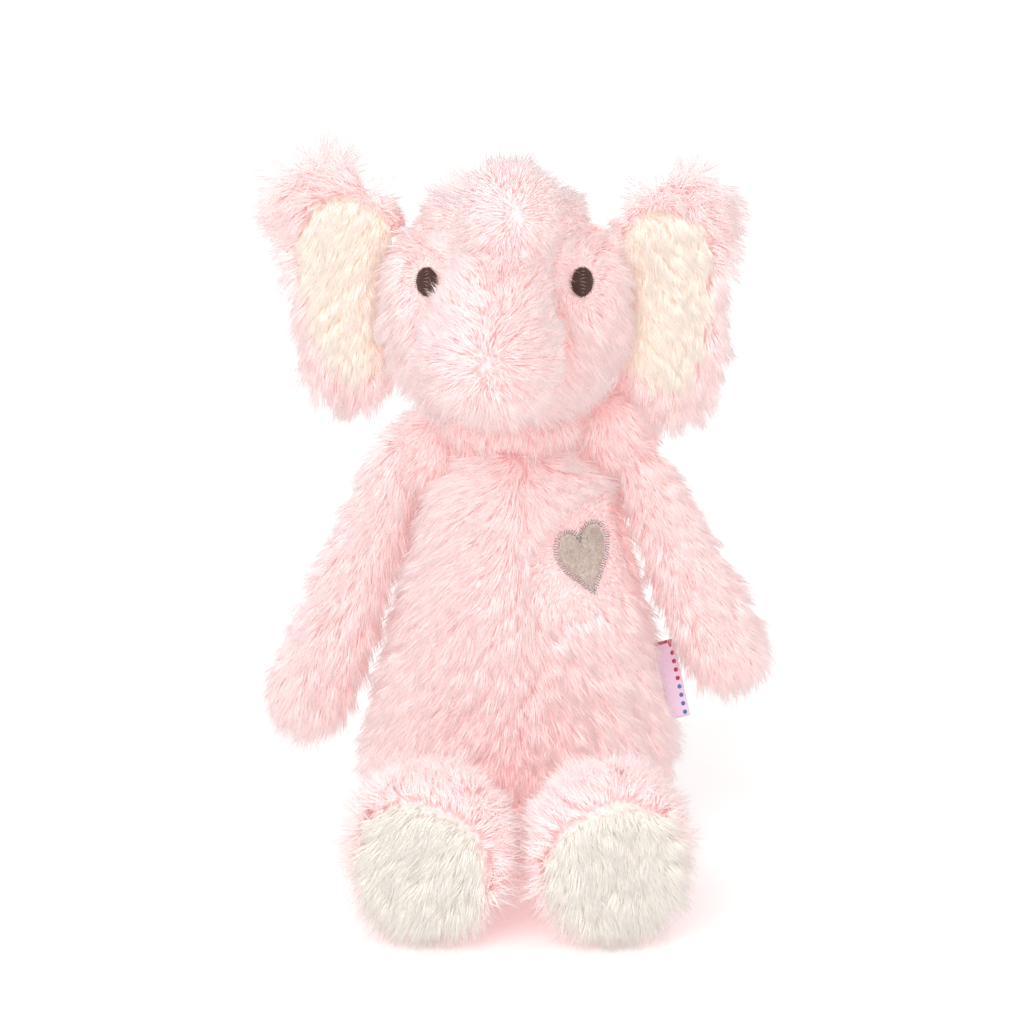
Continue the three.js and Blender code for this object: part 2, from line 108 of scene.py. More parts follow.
def makeCamera(spec):
    lift = math.radians(spec["elevation"])
    target = Vector(spec["target"])
    away = Vector((0.0, -math.cos(lift), math.sin(lift)))
    data = bpy.data.cameras.new("photoCamera")
    data.lens = spec["lens"]
    data.sensor_width = 36.0
    data.clip_start = 0.01
    camera = bpy.data.objects.new("photoCamera", data)
    camera.location = target + away * spec["distance"]
    camera.rotation_euler = away.to_track_quat("Z", "Y").to_euler()
    scene.collection.objects.link(camera)
    scene.camera = camera


studio = {
    "sky": (1.0, 0.995, 0.99),
    "skyStrength": 0.87,
    "backdropStrength": 1.05,
    "keyStrength": 1.3,
    "keyFrom": (-0.3, -0.85, 0.6),
    "keySoftness": 40.0,
    "floorSize": 8.0,
    "floorColour": (0.97, 0.965, 0.965, 1.0),
    "floorGlow": 0.15,
}


def makeStudio(spec):
    world = bpy.data.worlds.new("studioSky")
    world.use_nodes = True
    tree = world.node_tree
    sky = tree.nodes["Background"]
    sky.inputs["Color"].default_value = (*spec["sky"], 1.0)
    seen = addNode(tree, "ShaderNodeLightPath").outputs["Is Camera Ray"]
    strength = mapRange(tree, seen, (0.0, 1.0), (spec["skyStrength"], spec["backdropStrength"]))
    tree.links.new(strength, sky.inputs["Strength"])
    scene.world = world
    data = bpy.data.lights.new("keyLight", "SUN")
    data.energy = spec["keyStrength"]
    data.angle = math.radians(spec["keySoftness"])
    lamp = bpy.data.objects.new("keyLight", data)
    lamp.rotation_euler = Vector(spec["keyFrom"]).to_track_quat("Z", "Y").to_euler()
    scene.collection.objects.link(lamp)
    bpy.ops.mesh.primitive_plane_add(size=spec["floorSize"])
    floor = bpy.context.object
    floor.name = "studioFloor"
    material, tree, shader = newMaterial("paleFloor")
    shader.inputs["Base Color"].default_value = spec["floorColour"]
    shader.inputs["Roughness"].default_value = 0.9
    shader.inputs["Emission Color"].default_value = spec["floorColour"]
    shader.inputs["Emission Strength"].default_value = spec["floorGlow"]
    floor.data.materials.append(material)


# ---- small tools for node trees


def feed(tree, socket, value):
    if isinstance(value, bpy.types.NodeSocket):
        tree.links.new(value, socket)
    else:
        socket.default_value = value


def addNode(tree, kind, inputs=None, **settings):
    node = tree.nodes.new(kind)
    for key, value in settings.items():
        setattr(node, key, value)
    for key, value in (inputs or {}).items():
        feed(tree, node.inputs[key], value)
    return node


def vectorMath(tree, operation, first, second=None):
    node = addNode(tree, "ShaderNodeVectorMath", {0: first}, operation=operation)
    if second is not None:
        feed(tree, node.inputs["Scale" if operation == "SCALE" else 1], second)
    return node.outputs["Vector"]


def numberMath(tree, operation, *values):
    return addNode(tree, "ShaderNodeMath", dict(enumerate(values)), operation=operation).outputs[0]


def combine(tree, x, y, z):
    return addNode(tree, "ShaderNodeCombineXYZ", {"X": x, "Y": y, "Z": z}).outputs["Vector"]


def separate(tree, vector):
    return addNode(tree, "ShaderNodeSeparateXYZ", {"Vector": vector}).outputs


def mapRange(tree, value, given, wanted=(0.0, 1.0)):
    inputs = {"Value": value, "From Min": given[0], "From Max": given[1]}
    inputs.update({"To Min": wanted[0], "To Max": wanted[1]})
    return addNode(tree, "ShaderNodeMapRange", inputs).outputs["Result"]


def mixColours(tree, factor, first, second, way="MIX"):
    # sockets 6 and 7 are the colours, and output 2 is their mix
    inputs = {"Factor": factor, 6: first, 7: second}
    return addNode(tree, "ShaderNodeMix", inputs, data_type="RGBA", blend_type=way).outputs[2]


def newMaterial(name):
    material = bpy.data.materials.new(name)
    material.use_nodes = True
    return material, material.node_tree, material.node_tree.nodes["Principled BSDF"]


def addSockets(tree, direction, **kinds):
    # kinds names the sockets of each kind, as Float=("Scale", "Low")
    for kind, names in kinds.items():
        for name in names:
            tree.interface.new_socket(name=name, in_out=direction, socket_type=f"NodeSocket{kind}")


def newPieceTree(name, **kinds):
    # turns a piece's mesh into what it stands for
    tree = bpy.data.node_groups.new(name, "GeometryNodeTree")
    addSockets(tree, "INPUT", Geometry=("Geometry",), **kinds, Material=("Material",))
    addSockets(tree, "OUTPUT", Geometry=("Geometry",))
    return tree, addNode(tree, "NodeGroupInput").outputs


def copyOnto(tree, points, source, size, turned=(0.0, 0.0, 0.0)):
    shape = addNode(tree, "GeometryNodeObjectInfo", {"Object": source}).outputs["Geometry"]
    inputs = {"Points": points, "Instance": shape, "Rotation": turned, "Scale": size}
    copies = addNode(tree, "GeometryNodeInstanceOnPoints", inputs)
    return addNode(tree, "GeometryNodeRealizeInstances", {"Geometry": copies.outputs["Instances"]}).outputs[0]


def paintOut(tree, given, geometry):
    painted = addNode(tree, "GeometryNodeSetMaterial", {"Geometry": geometry, "Material": given["Material"]})
    addNode(tree, "NodeGroupOutput", {"Geometry": painted.outputs["Geometry"]})


# ---- materials

# light that has wandered through the pile, which a few bounces between strands don't give
paintedPileGlow = 0.25

# a strand's tone is a place across the map: plain ones lie in toneBand, and painted shade where limbs meet
# adds the shift below for a full crease; the pair after it is where the painted shade colour fades in
toneBand = (0.01, 0.5)
paintedShadeShift = 0.48
paintedShadeTones = (0.42, 0.82)
toneVariety = 140.0

pileColours = {
    "pink": {
        # from root to tip the colour grows paler; the deeper roots are painted shade down in the pile, here
        # and in each set below
        "root": (0.95, 0.80, 0.80),
        "middle": (0.97, 0.93, 0.93),
        "tip": (0.985, 0.97, 0.97),
        # painted shade: a colour multiplied into strands near other limbs, here and in each set below
        "crease": (0.99, 0.62, 0.60),
        # painted glow: light given off by the pile itself, here and in each set below
        "glow": (0.92, 0.42, 0.41),
    },
    "cream": {
        "root": (0.95, 0.85, 0.76),
        "middle": (0.97, 0.93, 0.88),
        "tip": (0.985, 0.965, 0.935),
        "crease": (0.97, 0.80, 0.72),
        "glow": (0.95, 0.74, 0.61),
    },
    "white": {
        "root": (0.86, 0.82, 0.76),
        "middle": (0.90, 0.875, 0.83),
        "tip": (0.925, 0.905, 0.87),
        "crease": (0.90, 0.72, 0.66),
        "glow": (0.72, 0.66, 0.60),
    },
}


def pileMaterial(name, colours):
    # u picks a strand's own tone and its painted shade, deepest where limbs meet, and v runs from its root to
    # its tip
    material, tree, shader = newMaterial(name)
    strandMap = addNode(tree, "ShaderNodeUVMap", uv_map="OFBake")
    parts = separate(tree, strandMap.outputs["UV"])
    # the ramp runs from the deeper root to the paler tip, the deeper roots being painted shade down in the
    # pile
    ramp = addNode(tree, "ShaderNodeValToRGB", {"Fac": parts["Y"]})
    ramp.color_ramp.elements[0].color = (*colours["root"], 1.0)
    ramp.color_ramp.elements[1].color = (*colours["tip"], 1.0)
    middle = ramp.color_ramp.elements.new(0.42)
    middle.color = (*colours["middle"], 1.0)
    place = numberMath(tree, "MULTIPLY", parts["X"], toneVariety)
    inputs = {"W": place, "Scale": 1.0, "Detail": 1.0}
    speckle = addNode(tree, "ShaderNodeTexNoise", inputs, noise_dimensions="1D").outputs["Fac"]
    shade = mapRange(tree, speckle, (0.3, 0.7), (0.9, 1.06))
    saturation = mapRange(tree, speckle, (0.3, 0.7), (1.15, 0.85))
    inputs = {"Value": shade, "Saturation": saturation, "Color": ramp.outputs["Color"]}
    tinted = addNode(tree, "ShaderNodeHueSaturation", inputs)
    # painted shade: tones past the plain ones are multiplied with the crease colour
    paintedShade = mapRange(tree, parts["X"], paintedShadeTones)
    withPaintedShade = mixColours(tree, paintedShade, tinted.outputs["Color"], (*colours["crease"], 1.0), "MULTIPLY")
    tree.links.new(withPaintedShade, shader.inputs["Base Color"])
    shader.inputs["Roughness"].default_value = 0.72
    shader.inputs["Specular IOR Level"].default_value = 0.2
    # painted glow: the pile gives off light of its own
    shader.inputs["Emission Color"].default_value = (*colours["glow"], 1.0)
    shader.inputs["Emission Strength"].default_value = paintedPileGlow
    return material


def makeGrainGroup():
    # fine woven or fibrous grain from Object coordinates, as a colour factor and a height
    group = bpy.data.node_groups.new("clothGrain", "ShaderNodeTree")
    addSockets(group, "INPUT", Float=("Scale", "Low", "High"))
    addSockets(group, "OUTPUT", Float=("Factor", "Height"))
    given = addNode(group, "NodeGroupInput").outputs
    place = addNode(group, "ShaderNodeTexCoord").outputs["Object"]
    inputs = {"Vector": place, "Scale": given["Scale"], "Detail": 6.0, "Roughness": 0.65}
    fine = addNode(group, "ShaderNodeTexNoise", inputs).outputs["Fac"]
    inputs = {"Vector": place, "Scale": 45.0, "Detail": 2.0}
    patches = addNode(group, "ShaderNodeTexNoise", inputs).outputs["Fac"]
    mixed = numberMath(group, "ADD", fine, patches)
    factor = mapRange(group, mixed, (0.7, 1.3), (given["Low"], given["High"]))
    addNode(group, "NodeGroupOutput", {"Factor": factor, "Height": fine})
    return group


clothLook = {
    "scale": 900.0, "low": 0.88, "high": 1.08, "roughness": 0.85, "bump": 0.35, "sheen": 0.2, "glow": None,
}


def clothMaterial(name, colour, grain, **changes):
    look = {**clothLook, **changes}
    material, tree, shader = newMaterial(name)
    texture = addNode(tree, "ShaderNodeGroup", node_tree=grain)
    for socket in ("Scale", "Low", "High"):
        texture.inputs[socket].default_value = look[socket.lower()]
    inputs = {"Value": texture.outputs["Factor"], "Color": (*colour, 1.0)}
    tinted = addNode(tree, "ShaderNodeHueSaturation", inputs)
    inputs = {"Height": texture.outputs["Height"], "Strength": look["bump"], "Distance": 0.0006}
    relief = addNode(tree, "ShaderNodeBump", inputs)
    tree.links.new(tinted.outputs["Color"], shader.inputs["Base Color"])
    tree.links.new(relief.outputs["Normal"], shader.inputs["Normal"])
    shader.inputs["Roughness"].default_value = look["roughness"]
    shader.inputs["Sheen Weight"].default_value = look["sheen"]
    shader.inputs["Sheen Roughness"].default_value = 0.5
    # painted glow: a backing gives off the same light as its pile
    if look["glow"] is not None:
        shader.inputs["Emission Color"].default_value = (*look["glow"], 1.0)
        shader.inputs["Emission Strength"].default_value = paintedPileGlow
    return material


# ---- soft forms: a limb's panels and filling made into one round shape


def pointsOf(mesh):
    flat = np.empty(len(mesh.vertices) * 3)
    mesh.vertices.foreach_get("co", flat)
    return flat.reshape(-1, 3)


def normalsOf(mesh):
    flat = np.empty(len(mesh.vertices) * 3)
    mesh.vertex_normals.foreach_get("vector", flat)
    return flat.reshape(-1, 3)


def setPoints(mesh, points):
    mesh.vertices.foreach_set("co", points.reshape(-1))
    mesh.update()


def addObject(name, mesh):
    piece = bpy.data.objects.new(name, mesh)
    scene.collection.objects.link(piece)
    return piece


def finalMesh(piece, name):
    view = bpy.context.evaluated_depsgraph_get()
    mesh = bpy.data.meshes.new_from_object(piece.evaluated_get(view), depsgraph=view)
    mesh.name = name
    return mesh


def bakeShape(piece):
    # the piece as its modifiers leave it
    mesh = finalMesh(piece, piece.name)
    piece.modifiers.clear()
    piece.data = mesh
    return mesh


def remeshed(piece, voxel, smoothing):
    remesh = piece.modifiers.new("remesh", "REMESH")
    remesh.mode = "VOXEL"
    remesh.voxel_size = voxel
    smooth = piece.modifiers.new("smooth", "SMOOTH")
    smooth.iterations = smoothing
    return bakeShape(piece)


def coat(mesh, material):
    mesh.materials.clear()
    mesh.materials.append(material)
    mesh.shade_smooth()


def storeOn(mesh, vectors, numbers):
    for kind, part, fields in (("FLOAT_VECTOR", "vector", vectors), ("FLOAT", "value", numbers)):
        for name, data in fields.items():
            attribute = mesh.attributes.new(name, kind, "POINT")
            attribute.data.foreach_set(part, np.ascontiguousarray(data, dtype=np.float32).reshape(-1))


def joinedNodes(names):
    joined = bmesh.new()
    for name in names:
        joined.from_mesh(frame["nodes"][name].data)
    bmesh.ops.remove_doubles(joined, verts=joined.verts, dist=1e-6)
    mesh = bpy.data.meshes.new("joinedNodes")
    joined.to_mesh(mesh)
    joined.free()
    return mesh


def largestPart(mesh):
    shape = bmesh.new()
    shape.from_mesh(mesh)
    unseen = set(shape.verts)
    biggest = set()
    while unseen:
        start = unseen.pop()
        found = {start}
        edge = [start]
        while edge:
            vert = edge.pop()
            for link in vert.link_edges:
                other = link.other_vert(vert)
                if other in unseen:
                    unseen.remove(other)
                    found.add(other)
                    edge.append(other)
        if len(found) > len(biggest):
            biggest = found
    loose = [vert for vert in shape.verts if vert not in biggest]
    bmesh.ops.delete(shape, geom=loose, context="VERTS")
    shape.to_mesh(mesh)
    shape.free()


def roundForm(name, nodeNames, voxel, smoothing, inset):
    piece = addObject(name, joinedNodes(nodeNames))
    mesh = remeshed(piece, voxel, smoothing)
    largestPart(mesh)
    setPoints(mesh, pointsOf(mesh) - normalsOf(mesh) * inset)
    return piece


clothStuffing = {"pressure": 4.0, "frames": 20, "cap": 2.2 * mm}


def stuffForms(forms, spec):
    # every form swells at once under its filling's pressure, and keeps only a little of that
    starts = {}
    for form in forms:
        starts[form] = pointsOf(form.data)
        cloth = form.modifiers.new("stuffing", "CLOTH")
        cloth.settings.quality = 4
        cloth.settings.mass = 0.25
        cloth.settings.tension_stiffness = 12
        cloth.settings.compression_stiffness = 12
        cloth.settings.bending_stiffness = 0.6
        cloth.settings.use_pressure = True
        cloth.settings.uniform_pressure_force = spec["pressure"]
        cloth.settings.effector_weights.gravity = 0.0
        cloth.collision_settings.use_collision = False
        cloth.collision_settings.use_self_collision = False
        cloth.point_cache.frame_end = spec["frames"]
    for step in range(1, spec["frames"] + 1):
        scene.frame_set(step)
    for form in forms:
        swollen = finalMesh(form, form.name)
        form.modifiers.clear()
        moved = pointsOf(swollen) - starts[form]
        moved -= moved.mean(axis=0)
        far = np.linalg.norm(moved, axis=1, keepdims=True)
        moved *= np.minimum(1.0, spec["cap"] / np.maximum(far, 1e-9))
        setPoints(form.data, starts[form] + moved)
    scene.frame_set(1)


# ---- which way the pile lies, and how long it is, over each limb


def unit(vectors):
    return vectors / np.maximum(np.linalg.norm(vectors, axis=1, keepdims=True), 1e-9)


def step(values, low, high):
    share = np.clip((values - low) / (high - low), 0.0, 1.0)
    return share * share * (3 - 2 * share)


def toward(points, away):
    # unit directions from a place to each point
    return unit(points - np.array(away))


def column(values):
    return values.reshape(-1, 1)


down = np.array((0.0, 0.0, -1.0))
headMiddle = np.array((-0.0064, -0.004, 0.236))
whorl = np.array((-0.013, -0.108, 0.221))
trunkTip = np.array((-0.0045, -0.122, 0.284))
heartMiddle = boxMiddle("heart_patch")
eyeMiddles = [boxMiddle("eye_left"), boxMiddle("eye_right")]


def heartReach(points):
    # from the heart's middle, where 1 is about at its edge
    reach = (points - heartMiddle) / np.array((0.0125, 1.0, 0.0155))
    reach[:, 1] = 0.0
    return reach


def combTorso(points, normals):
    front = step(-normals[:, 1], -0.1, 0.5)
    chest = step(points[:, 2], 0.08, 0.17)
    outward = np.tanh(points[:, 0] / 0.012) * (0.45 + 0.75 * chest) * front
    flow = np.tile(down, (len(points), 1))
    flow[:, 0] += outward
    fromHeart = heartReach(points)
    near = 1.0 - step(np.linalg.norm(fromHeart, axis=1), 1.1, 2.0)
    flow += unit(fromHeart) * column(near * front) * 4.0
    return flow


def lengthTorso(points, normals):
    length = np.full(len(points), 12.5 * mm)
    lean = math.tan(math.radians(labelSpec["lean"]))
    seamX = labelSpec["seam"][0] + (labelSpec["seam"][2] - points[:, 2]) * lean
    fromLabel = np.hypot(points[:, 0] - seamX, (points[:, 1] - labelSpec["seam"][1]) * 0.7)
    beside = step(points[:, 2], 0.05, 0.056) * (1 - step(points[:, 2], 0.092, 0.098))
    length *= 1.0 - 0.5 * step(points[:, 2], 0.055, 0.08) * beside * (1 - step(fromLabel, 5 * mm, 12 * mm))
    apart = np.linalg.norm(heartReach(points), axis=1)
    front = points[:, 1] < 0.0
    length *= np.where(front, 0.3 + 0.7 * step(apart, 1.0, 2.1), 1.0)
    length *= 0.3 + 0.7 * step(points[:, 2], 0.004, 0.02)
    length *= 1.0 - 0.5 * step(points[:, 0], 0.045, 0.055) * (1 - step(points[:, 2], 0.045, 0.055))
    return length


def combHead(points, normals):
    side = np.sign(points[:, 0] - headMiddle[0])
    cheek = np.tile(down, (len(points), 1))
    besideTrunk = 1 - step(np.abs(points[:, 0] + 0.010), 0.03, 0.045)
    cheek[:, 0] += side * (0.3 + 0.5 * besideTrunk)
    brow = np.tile(-down * 0.5, (len(points), 1))
    brow[:, 0] += side * 0.9
    upper = column(step(points[:, 2], 0.247, 0.262))
    face = cheek * (1 - upper) + brow * upper
    for middle in eyeMiddles:
        near = 1.0 - step(np.linalg.norm(points - middle, axis=1), 0.007, 0.017)
        face += toward(points, middle) * column(near) * 2.5
    back = np.tile(down, (len(points), 1)) + np.array((0.0, 0.5, 0.0))
    facing = column(step(-normals[:, 1], -0.25, 0.25))
    return face * facing + back * (1 - facing)


def lengthHead(points, normals):
    length = np.full(len(points), 11.5 * mm)
    brow = step(points[:, 2], 0.258, 0.27) * step(-normals[:, 1], -0.4, 0.2)
    length *= 1.0 - 0.3 * brow * (1 - step(points[:, 2], 0.27, 0.278))
    length *= 1.0 + 0.3 * step(points[:, 2], 0.272, 0.28)
    length *= 0.75 + 0.25 * step(np.abs(points[:, 2] - 0.269), 0.001, 0.006)
    for middle in eyeMiddles:
        apart = np.linalg.norm(points - middle, axis=1)
        length *= 0.1 + 0.9 * step(apart, 0.0055, 0.015)
    return length


def whorlCalm(points, middle, reach):
    # the pile stands up at the middle of a whorl and lies down away from it
    return column(0.15 + 0.85 * step(np.linalg.norm(points - np.array(middle), axis=1), 0.0, reach))


def combTrunk(points, normals):
    rise = step(points[:, 2], 0.238, 0.262)
    fromWhorl = toward(points, whorl) * whorlCalm(points, whorl, 18 * mm)
    side = np.zeros_like(points)
    side[:, 0] = np.tanh((points[:, 0] + 0.006) / 0.006) * 0.9
    side[:, 2] = 0.35
    tip = step(points[:, 2], 0.262, 0.272)
    fromTip = toward(points, trunkTip) * whorlCalm(points, trunkTip, 9 * mm)
    flow = fromWhorl + side * column(0.6 * rise)
    return flow * column(1 - tip) + fromTip * column(tip)


def lengthTrunk(points, normals):
    length = np.full(len(points), 11.0 * mm)
    fromWhorl = np.linalg.norm(points - whorl, axis=1)
    fromTip = np.linalg.norm(points - trunkTip, axis=1)
    length *= 0.72 + 0.28 * step(fromWhorl, 4 * mm, 18 * mm)
    length *= 1.0 - 0.25 * step(points[:, 2], 0.262, 0.272)
    length *= 0.8 + 0.2 * step(fromTip, 4 * mm, 14 * mm)
    length *= 1.0 + 0.45 * step(points[:, 2], 0.288, 0.297)
    length *= 1.0 - np.where(normals[:, 0] > 0.0, 0.3, 0.1) * step(np.abs(normals[:, 0]), 0.5, 0.9)
    return length * (0.35 + 0.65 * step(-points[:, 1], 0.045, 0.066))


def combEar(points, normals):
    side = np.sign(points[:, 0] - headMiddle[0])
    middle = np.zeros_like(points)
    middle[:, 0] = headMiddle[0] + side * 0.06
    middle[:, 2] = 0.243
    away = unit(points - middle)
    away[:, 1] = 0.0
    front = step(-normals[:, 1], 0.0, 0.5)
    return away * column(1.0 - 0.2 * front) + np.array((0.0, 0.0, -0.85))


def lengthEarRim(points, normals):
    root = np.abs(points[:, 0] - headMiddle[0])
    top = 1.0 + np.where(points[:, 0] < 0.0, 0.42, 0.25) * step(points[:, 2], 0.268, 0.285)
    return 12.5 * mm * (0.5 + 0.5 * step(root, 0.045, 0.06)) * top


def combEarInset(points, normals):
    side = np.sign(points[:, 0] - headMiddle[0])
    flow = np.tile(down, (len(points), 1))
    flow[:, 0] += side * 0.35
    return flow


def combArm(points, normals):
    side = np.sign(points[:, 0])
    collar = np.stack((side * 0.022, np.full(len(points), 0.004), np.full(len(points), 0.215)), axis=1)
    along = unit(points - collar)
    along[:, 0] += side * 0.12
    return along


def lengthArm(points, normals):
    return np.where(points[:, 0] < 0.0, 13.0 * mm, 11.5 * mm)


def combLeg(points, normals):
    side = np.sign(points[:, 0])
    middle = np.stack((side * 0.034, np.full(len(points), -0.05), np.full(len(points), 0.03)), axis=1)
    away = unit(points - middle)
    radial = away.copy()
    radial[:, 1] = 0.0
    foot = column(step(-points[:, 1], 0.075, 0.11))
    return np.array((0.0, -1.0, 0.0)) * (1 - 0.35 * foot) + unit(radial) * foot * 1.2


def lengthLeg(points, normals):
    length = np.full(len(points), 12.0 * mm)
    length += 3.5 * mm * step(-points[:, 0], 0.045, 0.06)
    length -= 4.0 * mm * step(points[:, 0], 0.048, 0.062)
    return length


def combSole(points, normals):
    side = np.sign(points[:, 0])
    middle = np.stack((side * 0.034, points[:, 1], np.full(len(points), 0.038)), axis=1)
    away = points - middle
    edge = column(step(np.linalg.norm(away, axis=1), 0.015, 0.03))
    flow = np.tile(down, (len(points), 1))
    flow[:, 0] += np.where(side < 0, -0.75, 0.1)
    return unit(flow) * (1 - 0.55 * edge) + unit(away) * edge * 0.75


def combTail(points, normals):
    return np.tile(np.array((0.0, 0.8, -0.6)), (len(points), 1))


def evenLength(length):
    return lambda points, normals: np.full(len(points), length)


# ---- panels: each limb's form cut along its seams


def nodeTrees(names):
    return {name: treeOf([frame["nodes"][name].data]) for name in names}


def nearestNode(places, trees):
    names = list(trees)
    table = np.empty((len(places), len(names)))
    for row, place in enumerate(places):
        for number, name in enumerate(names):
            table[row, number] = trees[name].find_nearest(Vector(place))[3]
    return names, table


def sinkSeams(form, trees, depth, width):
    # cloth draws in where two panels are sewn together
    if len(trees) < 2:
        return
    points = pointsOf(form.data)
    table = nearestNode(points, trees)[1]
    table.sort(axis=1)
    between = table[:, 1] - table[:, 0]
    sunk = depth * np.exp(-((between / width) ** 2))
    setPoints(form.data, points - normalsOf(form.data) * column(sunk))


def cutPanels(form, trees):
    mesh = form.data
    middles = np.array([face.center for face in mesh.polygons])
    names, table = nearestNode(middles, trees)
    table += np.array([panelChanges.get(name, {}).get("drawnIn", 0.0) for name in names])
    owners = table.argmin(axis=1)
    normals = normalsOf(mesh)
    panels = {}
    for number, name in enumerate(names):
        shape = bmesh.new()
        shape.from_mesh(mesh)
        shape.faces.ensure_lookup_table()
        others = [face for face in shape.faces if owners[face.index] != number]
        kept = shape.verts.layers.int.new("source")
        for vert in shape.verts:
            vert[kept] = vert.index
        bmesh.ops.delete(shape, geom=others, context="FACES")
        panel = bpy.data.meshes.new(name.replace("_panel", "_surface"))
        shape.to_mesh(panel)
        shape.free()
        source = np.empty(len(panel.vertices), dtype=np.int32)
        panel.attributes["source"].data.foreach_get("value", source)
        panel.attributes.remove(panel.attributes["source"])
        panels[name] = (panel, normals[source])
    return panels


def clearAhead(points, normals, others, reach=20 * mm):
    # how far each place looks out along its normal before it meets another limb, 0 inside one,
    # and how far it is from the nearest one in any direction
    clear = np.full(len(points), reach)
    aside = np.full(len(points), reach)
    for row, (point, normal) in enumerate(zip(points, normals)):
        start = Vector(point)
        near, face, number, apart = others.find_nearest(start, reach)
        if near is None:
            continue
        aside[row] = apart
        if (start - near).dot(face) < 0.0:
            clear[row] = 0.0
            aside[row] = 0.0
            continue
        hit = others.ray_cast(start, Vector(normal), reach)
        if hit[0] is not None:
            clear[row] = hit[3]
    return clear, aside


# painted shade in the hollows where the pile is pressed together and under overhangs such as the trunk's tip:
# a place, how far it reaches and how deep it is
paintedShadeSpots = [
    ((-0.0105, -0.113, 0.255), 15 * mm, 1.0),
    ((-0.003, -0.035, 0.045), 26 * mm, 0.5),
    ((-0.010, -0.045, 0.186), 30 * mm, 0.6),
    ((0.030, -0.03, 0.272), 20 * mm, 0.7),
    ((-0.042, -0.03, 0.270), 20 * mm, 0.7),
    ((-0.010, -0.115, 0.245), 80 * mm, 0.15),
]


def storeComb(panel, normals, comb, length, others, paintedShadeWeight=1.0):
    points = pointsOf(panel)
    swirl = np.array([noise.noise_vector(Vector(point) / pileSpec["swirlSize"]) for point in points])
    flow = comb(points, normals) + swirl * pileSpec["swirl"]
    flow = flow - normals * column((flow * normals).sum(axis=1))
    flow = flow / np.maximum(np.linalg.norm(flow, axis=1, keepdims=True), 1.0)
    clear, aside = clearAhead(points, normals, others)
    # painted shade: strands near another limb, and at the painted shade spots, take the deeper crease colour
    crease = np.minimum(paintedShadeWeight * (1.0 - step(aside, 2 * mm, 18 * mm)), 1.0)
    for place, reach, depth in paintedShadeSpots:
        apart = np.linalg.norm(points - np.array(place), axis=1)
        crease = np.maximum(crease, depth * (1.0 - step(apart, 0.3 * reach, reach)))
    pile = length(points, normals) * (0.25 + 0.75 * step(clear, 1 * mm, 11 * mm)) * (1.0 - 0.35 * crease)
    thick = step(clear, 0.5 * mm, 3 * mm)
    storeOn(panel, {"comb": flow, "up": normals}, {"pile": pile, "thick": thick, "crease": crease})


backingThickness = 1.2 * mm
panelFields = ("comb", "up", "pile", "thick", "crease")


def makeSkin(name, panel, material):
    skin = addObject(name, panel.copy())
    skin.data.name = name
    shell = skin.modifiers.new("backing", "SOLIDIFY")
    shell.thickness = backingThickness
    shell.offset = -1.0
    shell.use_even_offset = False
    mesh = bakeShape(skin)
    for attribute in panelFields:
        mesh.attributes.remove(mesh.attributes[attribute])
    coat(mesh, material)
    return skin


# ---- the pile: strands grown by Geometry Nodes

pileSpec = {
    "strandsPerMm2": 1.0,
    "radius": 0.21 * mm,
    "swirl": 0.6,
    "swirlSize": 14 * mm,
    "clumpSpacing": 3.2 * mm,
    "clumpPull": 0.45,
    "lift": 0.55,
    "lie": 0.85,
    "lengthJitter": 0.22,
    "combJitter": 0.22,
    "clumpJitter": 0.26,
    "bend": 0.1,
    "droop": 0.1,
    "floorClearance": 0.4 * mm,
}

# the pile tree's inputs, and where each is in a pileSpec
pileInputs = {
    "Radius": "radius",
    "Clump Spacing": "clumpSpacing",
    "Clump Pull": "clumpPull",
    "Lift": "lift",
    "Lie": "lie",
    "Length Jitter": "lengthJitter",
    "Comb Jitter": "combJitter",
    "Clump Jitter": "clumpJitter",
    "Bend": "bend",
    "Droop": "droop",
    "Floor Clearance": "floorClearance",
}


def makeStrand():
    # a three-sided spindle; its map runs across a side and from root to tip
    sides = 3
    widest = 0.4
    shape = bmesh.new()
    strandMap = shape.loops.layers.uv.new("OFBake")
    along = shape.verts.layers.float.new("along")
    root = shape.verts.new((0.0, 0.0, 0.0))
    tip = shape.verts.new((0.0, 0.0, 1.0))
    ring = []
    for side in range(sides):
        angle = 2 * math.pi * side / sides
        ring.append(shape.verts.new((math.cos(angle), math.sin(angle), widest)))
    for side in range(sides):
        after = (side + 1) % sides
        shape.faces.new((ring[after], ring[side], root))
        shape.faces.new((ring[side], ring[after], tip))
    for vert in shape.verts:
        vert[along] = vert.co.z
    for face in shape.faces:
        for number, loop in enumerate(face.loops):
            loop[strandMap].uv = (number / 2, loop.vert.co.z)
    mesh = bpy.data.meshes.new("strand")
    shape.to_mesh(mesh)
    shape.free()
    mesh.shade_smooth()
    return bpy.data.objects.new("strand", mesh)


def namedField(tree, name, kind="FLOAT"):
    node = addNode(tree, "GeometryNodeInputNamedAttribute", {"Name": name}, data_type=kind)
    return node.outputs["Attribute"]


def storeField(tree, geometry, name, value, kind="FLOAT", domain="POINT"):
    node = addNode(
        tree,
        "GeometryNodeStoreNamedAttribute",
        {"Geometry": geometry, "Name": name, "Value": value},
        data_type=kind,
        domain=domain,
    )
    return node.outputs["Geometry"]


def randomField(tree, kind, low, high, seed, who):
    # the node has a pair of limits and an output for each kind of value
    first, output = {"FLOAT_VECTOR": (0, 0), "FLOAT": (2, 1)}[kind]
    inputs = {first: low, first + 1: high, "Seed": seed}
    node = addNode(tree, "FunctionNodeRandomValue", inputs, data_type=kind)
    if who is not None:
        tree.links.new(who, node.inputs["ID"])
    return node.outputs[output]


def randomVector(tree, seed, who=None):
    return randomField(tree, "FLOAT_VECTOR", (-1.0, -1.0, -1.0), (1.0, 1.0, 1.0), seed, who)


def randomNumber(tree, low, high, seed, who=None):
    return randomField(tree, "FLOAT", low, high, seed, who)


